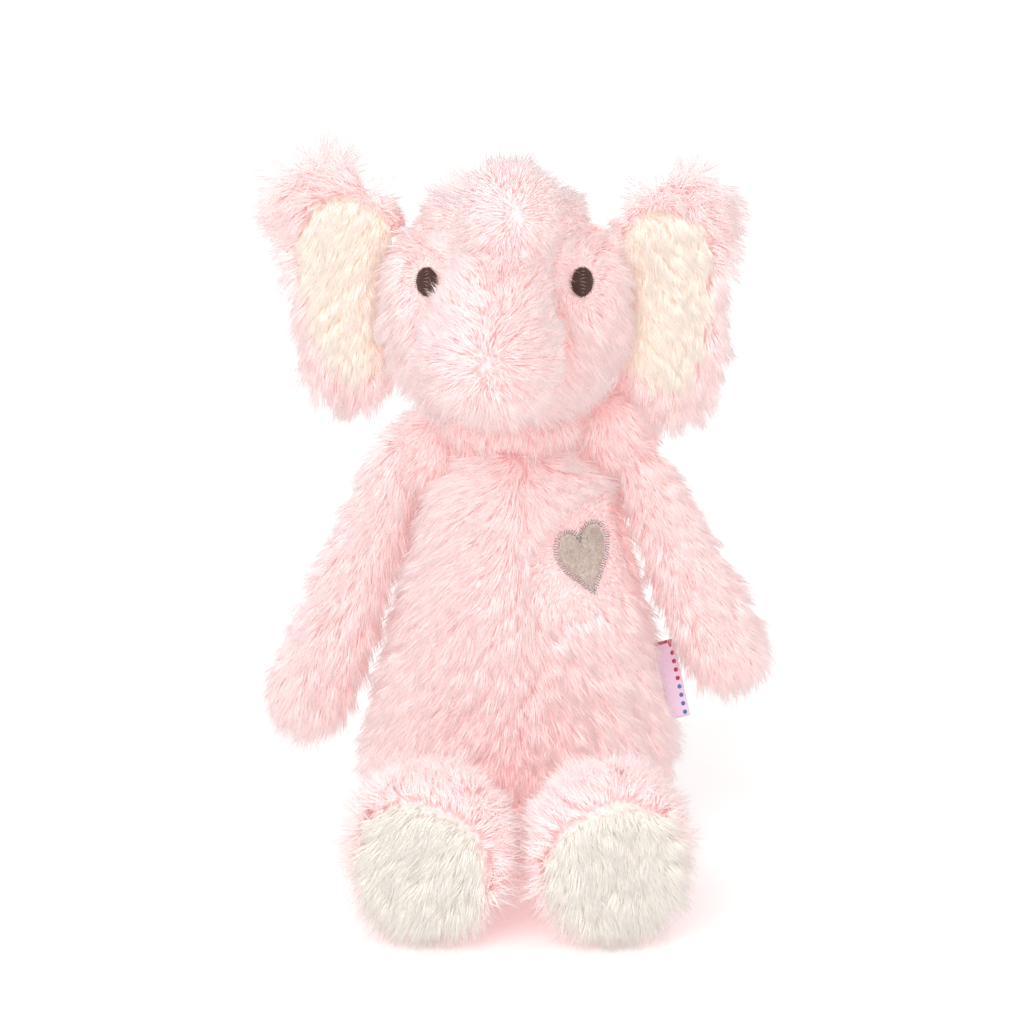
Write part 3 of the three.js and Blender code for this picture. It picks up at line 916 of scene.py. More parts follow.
def makePileTree(strand):
    tree, given = newPieceTree("plushPile", Float=("Density", *pileInputs), Int=("Seed",))

    # roots, and the sparser places that locks gather to
    thick = numberMath(tree, "MULTIPLY", given["Density"], namedField(tree, "thick"))
    roots = addNode(
        tree,
        "GeometryNodeDistributePointsOnFaces",
        {"Mesh": given["Geometry"], "Density": thick, "Seed": given["Seed"]},
        distribute_method="RANDOM",
    )
    locks = addNode(
        tree,
        "GeometryNodeDistributePointsOnFaces",
        {
            "Mesh": given["Geometry"],
            "Distance Min": given["Clump Spacing"],
            "Density Max": 400000.0,
            "Seed": given["Seed"],
        },
        distribute_method="POISSON",
    )
    here = addNode(tree, "GeometryNodeInputPosition").outputs["Position"]
    inputs = {"Geometry": locks.outputs["Points"], "Sample Position": here}
    nearest = addNode(tree, "GeometryNodeSampleNearest", inputs)
    lockNumber = nearest.outputs["Index"]
    lockPlace = addNode(
        tree,
        "GeometryNodeSampleIndex",
        {"Geometry": locks.outputs["Points"], "Value": here, "Index": lockNumber},
        data_type="FLOAT_VECTOR",
    ).outputs["Value"]
    toLock = vectorMath(tree, "SUBTRACT", lockPlace, here)

    # each strand's own direction and length
    up = vectorMath(tree, "NORMALIZE", namedField(tree, "up", "FLOAT_VECTOR"))
    comb = namedField(tree, "comb", "FLOAT_VECTOR")
    lockSway = vectorMath(tree, "SCALE", randomVector(tree, 11, lockNumber), given["Clump Jitter"])
    ownSway = vectorMath(tree, "SCALE", randomVector(tree, 12), given["Comb Jitter"])
    sway = vectorMath(tree, "ADD", lockSway, ownSway)
    flow = vectorMath(tree, "NORMALIZE", vectorMath(tree, "ADD", comb, sway))
    ownLength = numberMath(tree, "MULTIPLY", randomNumber(tree, -1.0, 1.0, 13), given["Length Jitter"])
    lockLength = randomNumber(tree, -0.12, 0.12, 14, lockNumber)
    stretch = numberMath(tree, "ADD", 1.0, numberMath(tree, "ADD", ownLength, lockLength))
    length = numberMath(tree, "MULTIPLY", namedField(tree, "pile"), stretch)
    lifted = vectorMath(tree, "SCALE", up, numberMath(tree, "MULTIPLY", given["Lift"], length))
    lying = vectorMath(tree, "SCALE", flow, numberMath(tree, "MULTIPLY", given["Lie"], length))
    bending = numberMath(tree, "MULTIPLY", given["Bend"], length)
    bent = vectorMath(tree, "SCALE", randomVector(tree, 15), bending)
    fall = numberMath(tree, "MULTIPLY", numberMath(tree, "MULTIPLY", given["Droop"], length), -1.0)
    bent = vectorMath(tree, "ADD", bent, combine(tree, 0.0, 0.0, fall))
    pulled = vectorMath(tree, "SCALE", toLock, given["Clump Pull"])
    points = roots.outputs["Points"]
    for name, vector in (("lifted", lifted), ("lying", lying), ("bent", bent), ("toLock", pulled)):
        points = storeField(tree, points, name, vector, "FLOAT_VECTOR")
    # painted shade: strands near another limb move across the map into the deeper tones
    paintedShade = numberMath(tree, "MULTIPLY", namedField(tree, "crease"), paintedShadeShift)
    tone = numberMath(tree, "ADD", randomNumber(tree, *toneBand, 16), paintedShade)
    points = storeField(tree, points, "tone", tone)

    # a flat ring of radius at each root; the strand is drawn out of it afterwards
    aim = vectorMath(tree, "ADD", lifted, lying)
    turned = addNode(tree, "FunctionNodeAlignRotationToVector", {"Vector": aim}, axis="Z").outputs["Rotation"]
    strands = copyOnto(tree, points, strand, combine(tree, given["Radius"], given["Radius"], 0.0), turned)

    # along is 0 at a strand's root and 1 at its tip
    along = namedField(tree, "along")
    squared = numberMath(tree, "MULTIPLY", along, along)
    upShare = numberMath(tree, "MULTIPLY_ADD", squared, -0.35, numberMath(tree, "MULTIPLY", along, 1.35))
    lieShare = numberMath(tree, "MULTIPLY_ADD", squared, 0.45, numberMath(tree, "MULTIPLY", along, 0.55))
    gather = numberMath(tree, "POWER", along, 1.4)
    offset = vectorMath(tree, "SCALE", namedField(tree, "lifted", "FLOAT_VECTOR"), upShare)
    for name, share in (("lying", lieShare), ("bent", squared), ("toLock", gather)):
        more = vectorMath(tree, "SCALE", namedField(tree, name, "FLOAT_VECTOR"), share)
        offset = vectorMath(tree, "ADD", offset, more)
    moved = separate(tree, vectorMath(tree, "ADD", here, offset))
    height = numberMath(tree, "MAXIMUM", moved["Z"], given["Floor Clearance"])
    settled = combine(tree, moved["X"], moved["Y"], height)
    drawn = addNode(tree, "GeometryNodeSetPosition", {"Geometry": strands, "Position": settled})

    # a narrow column of the map for each strand's tone
    own = separate(tree, namedField(tree, "OFBake", "FLOAT_VECTOR"))
    across = numberMath(tree, "MULTIPLY_ADD", own["X"], 0.004, namedField(tree, "tone"))
    mapped = combine(tree, across, own["Y"], 0.0)
    paintOut(tree, given, storeField(tree, drawn.outputs["Geometry"], "OFBake", mapped, "FLOAT2", "CORNER"))
    return tree


def setInputs(modifier, tree, values):
    sockets = {item.name: item.identifier for item in tree.interface.items_tree if item.in_out == "INPUT"}
    for key, value in values.items():
        modifier[sockets[key]] = value


growingFields = {"lifted", "lying", "bent", "toLock", "tone", "along", *panelFields}


def growPile(name, panel, tree, material, seed, changes):
    grower = addObject(name, panel)
    modifier = grower.modifiers.new("pile", "NODES")
    modifier.node_group = tree
    spec = {**pileSpec, **changes}
    values = {label: spec[key] for label, key in pileInputs.items()}
    values.update({"Density": spec["strandsPerMm2"] * 1e6, "Seed": seed, "Material": material})
    setInputs(modifier, tree, values)
    mesh = bakeShape(grower)
    for attribute in list(mesh.attributes):
        if attribute.name in growingFields:
            mesh.attributes.remove(attribute)
    return grower


# ---- limbs

limbs = {
    "torso": {
        "body": "torso",
        "panels": ["torso_front_left_panel", "torso_front_right_panel", "torso_back_left_panel",
                   "torso_back_right_panel", "torso_base_panel"],
        "inside": ["torso_filling", "pellet_pouch_top", "pellet_pouch_bottom", "pouch_pellets", "heart_patch",
                   "heart_border_stitching"],
        "comb": combTorso, "length": lengthTorso, "inset": 3.0 * mm, "density": 2.2,
    },
    "head": {
        "body": "head",
        "panels": ["head_face_left_panel", "head_face_right_panel", "head_crown_panel", "head_back_panel"],
        "inside": ["head_filling", "eye_left", "eye_right"],
        "comb": combHead, "length": lengthHead, "inset": 3.0 * mm, "density": 2.4,
        # stronger painted shade on the face near the trunk and ears
        "paintedShadeWeight": 1.8,
    },
    "trunk": {
        "body": "trunk",
        "panels": ["trunk_left_panel", "trunk_right_panel"],
        "inside": ["trunk_filling"],
        "comb": combTrunk, "length": lengthTrunk, "inset": 3.0 * mm, "density": 2.5,
        # little painted shade on the trunk
        "paintedShadeWeight": 0.1, "changes": {"lift": 0.46},
    },
    "tail": {
        "body": "tail",
        "panels": ["tail"],
        "inside": [],
        "comb": combTail, "length": evenLength(11 * mm), "inset": 2.0 * mm, "density": 2.2,
    },
}
for side in ("left", "right"):
    limbs[f"ear_{side}"] = {
        "body": f"ear_{side}",
        "panels": [f"ear_{side}_rim_panel", f"ear_{side}_inset_panel", f"ear_{side}_back_panel"],
        "inside": [f"ear_{side}_wadding"],
        "comb": combEar, "length": lengthEarRim, "inset": 2.4 * mm, "density": 2.2,
        "changes": {"lengthJitter": 0.14, "combJitter": 0.16},
    }
    limbs[f"arm_{side}"] = {
        "body": f"arm_{side}",
        "panels": [f"arm_{side}_outer_panel", f"arm_{side}_inner_panel"],
        "inside": [f"arm_{side}_filling", f"shoulder_{side}_filling"],
        "comb": combArm, "length": lengthArm, "inset": 3.0 * mm, "density": 2.2,
        "changes": {"lift": 0.48},
    }
    limbs[f"leg_{side}"] = {
        "body": f"leg_{side}",
        "panels": [f"leg_{side}_top_panel", f"leg_{side}_under_panel", f"foot_{side}_sole_panel"],
        "inside": [f"leg_{side}_filling", f"hip_{side}_filling"],
        "comb": combLeg, "length": lengthLeg, "inset": 3.0 * mm, "density": 2.2,
    }

panelChanges = {
    "torso_base_panel": {"density": 0.6},
    "torso_back_left_panel": {"density": 1.15},
    "torso_back_right_panel": {"density": 1.15},
    "head_back_panel": {"density": 1.15},
}
for side in ("left", "right"):
    panelChanges[f"ear_{side}_inset_panel"] = {"comb": combEarInset, "length": evenLength(10.5 * mm),
                                                "colour": "cream"}
    panelChanges[f"ear_{side}_back_panel"] = {"density": 1.3}
    panelChanges[f"arm_{side}_inner_panel"] = {"density": 1.8}
    panelChanges[f"leg_{side}_under_panel"] = {"density": 1.2}
    panelChanges[f"foot_{side}_sole_panel"] = {
        "comb": combSole,
        "length": evenLength(11 * mm),
        "colour": "white",
        "drawnIn": 4 * mm,
    }

seam = {"depth": 0.6 * mm, "width": 1.6 * mm}


def makeForms(voxel=3.0 * mm, smoothing=8):
    forms = {}
    for name, spec in limbs.items():
        nodes = spec["panels"] + spec["inside"]
        forms[name] = roundForm(f"{name}_form", nodes, voxel, smoothing, spec["inset"])
    return forms


def dressLimb(name, spec, forms, pileTree, materials, skinMaterials, seed):
    form = forms[name]
    others = treeOf([other.data for key, other in forms.items() if key != name])
    trees = nodeTrees(spec["panels"])
    sinkSeams(form, trees, seam["depth"], seam["width"])
    made = []
    for number, (node, (panel, normals)) in enumerate(cutPanels(form, trees).items()):
        own = panelChanges.get(node, {})
        colour = own.get("colour", "pink")
        comb = own.get("comb", spec["comb"])
        length = own.get("length", spec["length"])
        storeComb(panel, normals, comb, length, others, spec.get("paintedShadeWeight", 1.0))
        base = node.replace("_panel", "")
        skin = makeSkin(f"{base}_skin", panel, skinMaterials[colour])
        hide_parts(node)
        changes = {"strandsPerMm2": own.get("density", spec["density"]), **spec.get("changes", {})}
        pile = growPile(
            f"{base}_pile", panel, pileTree, materials[colour], seed + number, changes
        )
        for piece in (skin, pile):
            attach(piece, spec["body"])
        made.append((skin, pile))
    return made


def triangles(piece):
    piece.data.calc_loop_triangles()
    return len(piece.data.loop_triangles)


# ---- the neck: a short furred band that bends between the torso and the head

neckBand = {
    "centre": (-0.004, 0.001, 0.187),
    "halfSizes": (0.028, 0.023, 0.013),
    "pile": 10 * mm,
    "density": 1.6,
    "bendFrom": 0.180,
    "bendTo": 0.194,
}


def ellipsoidMesh(name, centre, halfSizes, rounds=48, rings=24):
    shape = bmesh.new()
    bmesh.ops.create_uvsphere(shape, u_segments=rounds, v_segments=rings, radius=1.0)
    for vert in shape.verts:
        vert.co = Vector(centre) + Vector(vert.co[axis] * halfSizes[axis] for axis in range(3))
    mesh = bpy.data.meshes.new(name)
    shape.to_mesh(mesh)
    shape.free()
    return mesh


def combNeck(points, normals):
    flow = points - np.array(neckBand["centre"])
    flow[:, 2] = -0.06
    return unit(flow)


def makeGather(name, spec, comb, pileTree, meshes, seed):
    # plush gathered round a limb's root
    panel = ellipsoidMesh(f"{name}_surface", spec["centre"], spec["halfSizes"])
    # half the painted shade near the limbs it sits between
    storeComb(panel, normalsOf(panel), comb, evenLength(spec["pile"]), treeOf(meshes), 0.5)
    skin = makeSkin(f"{name}_skin", panel, skinMaterials["pink"])
    changes = {"strandsPerMm2": spec["density"]}
    pile = growPile(f"{name}_pile", panel, pileTree, pileMaterials["pink"], seed, changes)
    return skin, pile


shoulderGather = {
    "centres": {"left": (0.038, 0.006, 0.180), "right": (-0.038, 0.006, 0.171)},
    "halfSizes": (0.015, 0.0145, 0.016),
    "pile": 10 * mm,
    "density": 1.6,
}


def makeShoulders(spec, pileTree, forms):
    for number, (side, centre) in enumerate(spec["centres"].items()):
        own = {**spec, "centre": centre}
        meshes = [forms["torso"].data, forms[f"arm_{side}"].data, forms["head"].data]
        for piece in makeGather(f"shoulder_{side}", own, combArm, pileTree, meshes, 50 + number):
            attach(piece, "torso")


def makeNeck(spec, pileTree, forms):
    meshes = [forms["head"].data, forms["torso"].data]
    skin, pile = makeGather("neck", spec, combNeck, pileTree, meshes, 41)
    low = Vector((spec["centre"][0], spec["centre"][1], spec["bendFrom"]))
    high = Vector((spec["centre"][0], spec["centre"][1], spec["bendTo"]))
    for piece in (skin, pile):
        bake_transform(piece, "neck", "head", low, high)


# ---- stuffing inside every limb

fibreSpec = {
    "voxel": 2.6 * mm,
    "shrink": 1.3 * mm,
    "rough": 0.5 * mm,
    "lumps": 120.0,
    "colour": (0.9, 0.89, 0.87),
}


def makeFibre(node, body, material, spec):
    piece = addObject(node.replace("_filling", "_fibre").replace("_wadding", "_wadding_sheet"),
                      frame["nodes"][node].data.copy())
    mesh = remeshed(piece, spec["voxel"], 3)
    points = pointsOf(mesh)
    lumps = np.array([noise.noise(Vector(point) * spec["lumps"]) for point in points])
    setPoints(mesh, points + normalsOf(mesh) * column(spec["rough"] * lumps - spec["shrink"]))
    coat(mesh, material)
    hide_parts(node)
    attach(piece, body)


def fillings(body):
    # the stuffing that moves with a body
    named = {"neck": ["neck_filling"]}
    for name, spec in limbs.items():
        named[spec["body"]] = [node for node in spec["inside"] if node.endswith(("_filling", "_wadding"))]
    for side in ("left", "right"):
        for inner, outer in (("shoulder", "arm"), ("hip", "leg")):
            named[f"{inner}_{side}"] = [f"{inner}_{side}_filling"]
            named[f"{outer}_{side}"] = [f"{outer}_{side}_filling"]
    return named.get(body, [])


# ---- the pellet pouch in the seat

pouchSpec = {
    "voxel": 1.6 * mm,
    "crease": 0.35 * mm,
    "creaseScale": 90.0,
    "cloth": (0.86, 0.84, 0.8),
    "pelletSpacing": 4.3 * mm,
    "pelletRadius": 1.9 * mm,
    "pellet": (0.93, 0.94, 0.95),
}


def makePouchHalf(node, material, spec):
    piece = addObject(f"{node}_cloth", frame["nodes"][node].data.copy())
    soften = piece.modifiers.new("finer", "SUBSURF")
    soften.subdivision_type = "SIMPLE"
    soften.levels = 2
    mesh = bakeShape(piece)
    points = pointsOf(mesh)
    creases = np.array([noise.noise(Vector(point) * spec["creaseScale"]) for point in points])
    shift = np.zeros_like(points)
    shift[:, 2] = creases * spec["crease"] - 0.1 * mm
    shift[points[:, 2] < 0.006] = 0.0
    setPoints(mesh, points + shift)
    coat(mesh, material)
    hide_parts(node)
    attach(piece, "torso")


def makePelletTree(ball):
    tree, given = newPieceTree("pelletFill", Float=("Spacing", "Radius"))
    inputs = {"Mesh": given["Geometry"], "Density": 1.0, "Voxel Amount": 64.0}
    volume = addNode(tree, "GeometryNodeMeshToVolume", inputs)
    places = addNode(
        tree,
        "GeometryNodeDistributePointsInVolume",
        {"Volume": volume.outputs["Volume"], "Threshold": 0.1},
        mode="DENSITY_GRID",
    )
    tree.links.new(combine(tree, *[given["Spacing"]] * 3), places.inputs["Spacing"])
    size = combine(tree, *[given["Radius"]] * 3)
    paintOut(tree, given, copyOnto(tree, places.outputs["Points"], ball, size))
    return tree


def makePellets(material, spec):
    ball = bpy.data.objects.new("pellet", ellipsoidMesh("pellet", (0, 0, 0), (1, 1, 1), 6, 4))
    tree = makePelletTree(ball)
    piece = addObject("pouch_pellet_beads", frame["nodes"]["pouch_pellets"].data.copy())
    setPoints(piece.data, pointsOf(piece.data) - normalsOf(piece.data) * spec["pelletRadius"] * 1.1)
    modifier = piece.modifiers.new("pellets", "NODES")
    modifier.node_group = tree
    values = {"Spacing": spec["pelletSpacing"], "Radius": spec["pelletRadius"], "Material": material}
    setInputs(modifier, tree, values)
    bakeShape(piece).shade_smooth()
    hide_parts("pouch_pellets")
    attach(piece, "torso")


# ---- stitches: threads laid across a guide line by Geometry Nodes


def makeThread():
    # one raised stitch, a unit long and a unit in radius, arched over its middle
    rings = 5
    sides = 5
    shape = bmesh.new()
    rows = []
    for ring in range(rings):
        share = ring / (rings - 1)
        arch = 1.6 * math.sin(math.pi * share)
        radius = 0.45 + 0.55 * math.sin(math.pi * share)
        row = []
        for side in range(sides):
            angle = 2 * math.pi * side / sides
            across = radius * math.cos(angle)
            row.append(shape.verts.new((share - 0.5, across, arch + radius * math.sin(angle))))
        rows.append(row)
    for lower, upper in zip(rows, rows[1:]):
        for side in range(sides):
            after = (side + 1) % sides
            shape.faces.new((lower[side], lower[after], upper[after], upper[side]))
    shape.faces.new(list(reversed(rows[0])))
    shape.faces.new(rows[-1])
    bmesh.ops.recalc_face_normals(shape, faces=shape.faces)
    mesh = bpy.data.meshes.new("thread")
    shape.to_mesh(mesh)
    shape.free()
    mesh.shade_smooth()
    return bpy.data.objects.new("thread", mesh)


def makeStitchTree(thread):
    tree, given = newPieceTree("stitchRow", Float=("Spacing", "Thickness", "Slant", "Scatter"), Int=("Seed",))
    line = addNode(tree, "GeometryNodeMeshToCurve", {"Mesh": given["Geometry"]})
    row = addNode(
        tree,
        "GeometryNodeResampleCurve",
        {"Curve": line.outputs["Curve"], "Length": given["Spacing"]},
        mode="LENGTH",
    )
    points = addNode(tree, "GeometryNodeCurveToPoints", {"Curve": row.outputs["Curve"]}, mode="EVALUATED")
    across = vectorMath(tree, "NORMALIZE", namedField(tree, "across", "FLOAT_VECTOR"))
    proud = vectorMath(tree, "NORMALIZE", namedField(tree, "proud", "FLOAT_VECTOR"))
    along = vectorMath(tree, "CROSS_PRODUCT", across, proud)
    wander = randomNumber(tree, -1.0, 1.0, given["Seed"])
    slant = numberMath(tree, "MULTIPLY_ADD", wander, given["Scatter"], given["Slant"])
    leaning = vectorMath(tree, "ADD", across, vectorMath(tree, "SCALE", along, slant))
    flat = addNode(tree, "FunctionNodeAlignRotationToVector", {"Vector": leaning}, axis="X")
    turned = addNode(
        tree,
        "FunctionNodeAlignRotationToVector",
        {"Rotation": flat.outputs["Rotation"], "Vector": proud},
        axis="Z",
        pivot_axis="X",
    ).outputs["Rotation"]
    stretch = randomNumber(tree, 0.8, 1.15, 7)
    reach = numberMath(tree, "MULTIPLY", namedField(tree, "reach"), stretch)
    size = combine(tree, reach, given["Thickness"], given["Thickness"])
    paintOut(tree, given, copyOnto(tree, points.outputs["Points"], thread, size, turned))
    return tree


def guideMesh(name, points, across, proud, reach, closed):
    count = len(points)
    edges = [(number, number + 1) for number in range(count - 1)]
    if closed:
        edges.append((count - 1, 0))
    mesh = bpy.data.meshes.new(name)
    mesh.from_pydata([tuple(point) for point in points], edges, [])
    storeOn(mesh, {"across": across, "proud": proud}, {"reach": reach})
    return mesh


def sewRow(name, guide, tree, material, spec, seed):
    piece = addObject(name, guide)
    modifier = piece.modifiers.new("stitches", "NODES")
    modifier.node_group = tree
    values = {key.capitalize(): value for key, value in spec.items()}
    setInputs(modifier, tree, {**values, "Seed": seed, "Material": material})
    coat(bakeShape(piece), material)
    return piece


def joinInto(name, pieces):
    joined = bmesh.new()
    materials = []
    for piece in pieces:
        part = piece.data.copy()
        own = part.materials[0]
        if own not in materials:
            materials.append(own)
        for face in part.polygons:
            face.material_index = materials.index(own)
        joined.from_mesh(part)
        bpy.data.objects.remove(piece)
    mesh = bpy.data.meshes.new(name)
    joined.to_mesh(mesh)
    joined.free()
    for own in materials:
        mesh.materials.append(own)
    mesh.shade_smooth()
    return addObject(name, mesh)


# ---- the velour heart and its stitched border

heartSpec = {
    "place": (0.0265, 0.1335),
    "height": 31 * mm,
    "width": 24 * mm,
    "lean": 15.0,
    "border": 2.2 * mm,
    "voxel": 0.7 * mm,
    "velour": (0.77, 0.645, 0.57),
    "napLength": 1.1 * mm,
    "napDensity": 5.0,
    "napRadius": 0.12 * mm,
    "threads": {"spacing": 1.1 * mm, "thickness": 0.19 * mm, "slant": 0.4, "scatter": 0.5},
    "threadColours": ((0.06, 0.08, 0.085), (0.58, 0.59, 0.6)),
}


def bezier(first, second, third, fourth, steps):
    shares = np.arange(steps).reshape(-1, 1) / steps
    back = 1 - shares
    return (
        np.array(first) * back**3
        + 3 * np.array(second) * back**2 * shares
        + 3 * np.array(third) * back * shares**2
        + np.array(fourth) * shares**3
    )


def heartOutline(spec, shrink, steps=16):
    w = spec["width"] / 2 - shrink
    h = spec["height"] / 2 - shrink
    notch, point = (0.0, h * 0.58), (0.0, -h)
    right, left = (w, h * 0.4), (-w, h * 0.4)
    parts = [
        bezier(notch, (w * 0.1, h * 1.05), (w * 0.95, h * 1.15), right, steps),
        bezier(right, (w, -h * 0.15), (w * 0.3, -h * 0.6), point, steps),
        bezier(point, (-w * 0.3, -h * 0.6), (-w, -h * 0.15), left, steps),
        bezier(left, (-w * 0.95, h * 1.15), (-w * 0.1, h * 1.05), notch, steps),
    ]
    flat = np.concatenate(parts)
    lean = math.radians(spec["lean"])
    x = flat[:, 0] * math.cos(lean) - flat[:, 1] * math.sin(lean)
    z = flat[:, 0] * math.sin(lean) + flat[:, 1] * math.cos(lean)
    return np.stack((spec["place"][0] + x, spec["place"][1] + z), axis=1)


def ontoFront(flat, tree):
    # drops a drawn outline, as x and z, onto the front of a surface
    points = []
    normals = []
    for x, z in flat:
        place, normal = tree.ray_cast(Vector((x, -0.2, z)), Vector((0, 1, 0)))[:2]
        if place is None:
            place, normal = tree.find_nearest(Vector((x, -0.04, z)))[:2]
        points.append(place)
        normals.append(normal)
    return np.array(points), np.array(normals)


def outwardOf(points):
    ahead = np.roll(points, -1, axis=0) - np.roll(points, 1, axis=0)
    turn = np.stack((ahead[:, 2], np.zeros(len(points)), -ahead[:, 0]), axis=1)
    return unit(turn)


def makeHeart(spec, stitchTree, pileTree, velour, threadMaterials):
    patch = addObject("heart_velour", frame["nodes"]["heart_patch"].data.copy())
    mesh = remeshed(patch, spec["voxel"], 4)
    coat(mesh, velour)
    front = treeOf([mesh, frame["nodes"]["heart_border_stitching"].data])

    face = mesh.copy()
    normals = normalsOf(face)
    flow = np.tile(np.array((-0.25, 0.0, -1.0)), (len(normals), 1))
    nap = {"pile": np.full(len(normals), spec["napLength"]), "thick": step(-normals[:, 1], 0.3, 0.6)}
    storeOn(face, {"comb": flow, "up": normals}, nap)
    changes = {
        "strandsPerMm2": spec["napDensity"],
        "radius": spec["napRadius"],
        "clumpPull": 0.0,
        "lift": 0.6,
        "combJitter": 0.6,
    }
    nap = growPile("heart_nap", face, pileTree, velour, 71, changes)

    outline = heartOutline(spec, spec["border"] * 0.55)
    points, proud = ontoFront(outline, front)
    points = points + proud * 0.2 * mm
    across = outwardOf(points)
    reach = np.full(len(points), spec["border"])
    rows = []
    for number, material in enumerate(threadMaterials):
        rolled = [np.roll(data, number, axis=0) for data in (points, across, proud)]
        guide = guideMesh(f"heartGuide{number}", *rolled, reach, True)
        own = {**spec["threads"], "slant": spec["threads"]["slant"] * (1 - 2 * number)}
        rows.append(sewRow(f"heart_row_{number}", guide, stitchTree, material, own, 5 + number))
    border = joinInto("heart_border_threads", rows)
    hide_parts("heart_patch")
    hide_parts("heart_border_stitching")
    for piece in (patch, nap, border):
        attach(piece, "torso")


# ---- embroidered eyes: a dark oval of satin stitches

eyeSpec = {
    "voxel": 0.5 * mm,
    "rows": 26,
    "edgeSteps": 40,
    "threads": {"spacing": 0.36 * mm, "thickness": 0.2 * mm, "slant": 0.1, "scatter": 0.4},
    "edge": {"spacing": 0.8 * mm, "thickness": 0.16 * mm, "slant": 0.0, "scatter": 0.5},
    "dark": (0.075, 0.026, 0.02),
    # a lighter brown thread, partly its own tone and partly painted highlight on the stitches
    "light": (0.30, 0.20, 0.18),
}


def makeEye(side, spec, stitchTree, baseMaterial, threadMaterials):
    node = f"eye_{side}"
    base = addObject(f"{node}_base", frame["nodes"][node].data.copy())
    mesh = remeshed(base, spec["voxel"], 4)
    coat(mesh, baseMaterial)
    surface = treeOf([mesh])
    low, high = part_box(node)
    middle = (low + high) / 2
    wide = (high.x - low.x) / 2
    tall = (high.z - low.z) / 2
    pieces = []
    rows = spec["rows"]
    heights = np.linspace(-0.94, 0.94, rows)
    flat = np.stack((np.full(rows, middle.x), middle.z + heights * tall), axis=1)
    points, proud = ontoFront(flat, surface)
    across = np.tile(np.array((1.0, 0.0, 0.0)), (rows, 1))
    across -= proud * column((across * proud).sum(axis=1))
    half = np.sqrt(1 - heights**2) * wide
    # the third, sparser row is in the lighter thread: partly its own tone, partly painted highlight
    for number, (material, shift) in enumerate(zip(threadMaterials, (-0.45, 0.45, 0.0))):
        moved = points + across * column(half * shift) + proud * 0.15 * mm
        guide = guideMesh(f"{node}Guide{number}", moved, across, proud, half * 1.15, False)
        own = {**spec["threads"], "spacing": spec["threads"]["spacing"] * (1 + 2.5 * (number == 2))}
        pieces.append(sewRow(f"{node}_row_{number}", guide, stitchTree, material, own, 30 + number))
    steps = spec["edgeSteps"]
    turns = np.linspace(0, 2 * math.pi, steps, endpoint=False)
    flat = np.stack((middle.x + np.cos(turns) * wide * 0.93, middle.z + np.sin(turns) * tall * 0.93), axis=1)
    points, proud = ontoFront(flat, surface)
    across = np.stack((np.cos(turns), np.zeros(steps), np.sin(turns)), axis=1)
    guide = guideMesh(f"{node}Edge", points, across, proud, np.full(steps, 2.0 * mm), True)
    pieces.append(sewRow(f"{node}_edge", guide, stitchTree, threadMaterials[0], spec["edge"], 44))
    threads = joinInto(f"{node}_threads", pieces)
    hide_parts(node)
    for piece in (base, threads):
        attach(piece, "head")


# ---- the folded ribbon label in the side seam

labelSpec = {
    "seam": (0.0563, 0.001, 0.091),
    "lean": 12.5,
    "height": 34 * mm,
    "reach": 9 * mm,
    "gap": 0.9 * mm,
    "ply": 0.35 * mm,
    "curl": 1.2 * mm,
    "ribbon": (0.80, 0.62, 0.78),
    "red": (0.42, 0.02, 0.08),
    "blue": (0.05, 0.16, 0.42),
}


def ribbonMaterial(spec, grain):
    look = {"scale": 1500.0, "low": 0.94, "high": 1.05, "roughness": 0.5, "bump": 0.25}
    material = clothMaterial("lilacRibbon", spec["ribbon"], grain, **look)
    tree = material.node_tree
    shader = tree.nodes["Principled BSDF"]
    base = shader.inputs["Base Color"].links[0].from_socket
    across = addNode(tree, "ShaderNodeUVMap", uv_map="ribbon")
    parts = separate(tree, across.outputs["UV"])
    # u runs round the fold and v from the bottom to the top, so these draw a hem and a row of dots
    hem = numberMath(tree, "GREATER_THAN", parts["Y"], 0.968)
    beat = numberMath(tree, "FRACT", numberMath(tree, "MULTIPLY", parts["Y"], 9.0))
    upDown = numberMath(tree, "MULTIPLY", numberMath(tree, "SUBTRACT", beat, 0.5), 3.8)
    offSide = numberMath(tree, "MULTIPLY", numberMath(tree, "SUBTRACT", parts["X"], 0.3), 26.0)
    square = numberMath(tree, "MULTIPLY", offSide, offSide)
    far = numberMath(tree, "MULTIPLY_ADD", upDown, upDown, square)
    dots = numberMath(tree, "LESS_THAN", far, 1.0)
    upper = numberMath(tree, "GREATER_THAN", parts["Y"], 0.42)
    blue, red = ((*spec[colour], 1.0) for colour in ("blue", "red"))
    ink = mixColours(tree, upper, blue, red)
    hemmed = mixColours(tree, hem, mixColours(tree, dots, base, ink), red)
    tree.links.new(hemmed, shader.inputs["Base Color"])
    return material


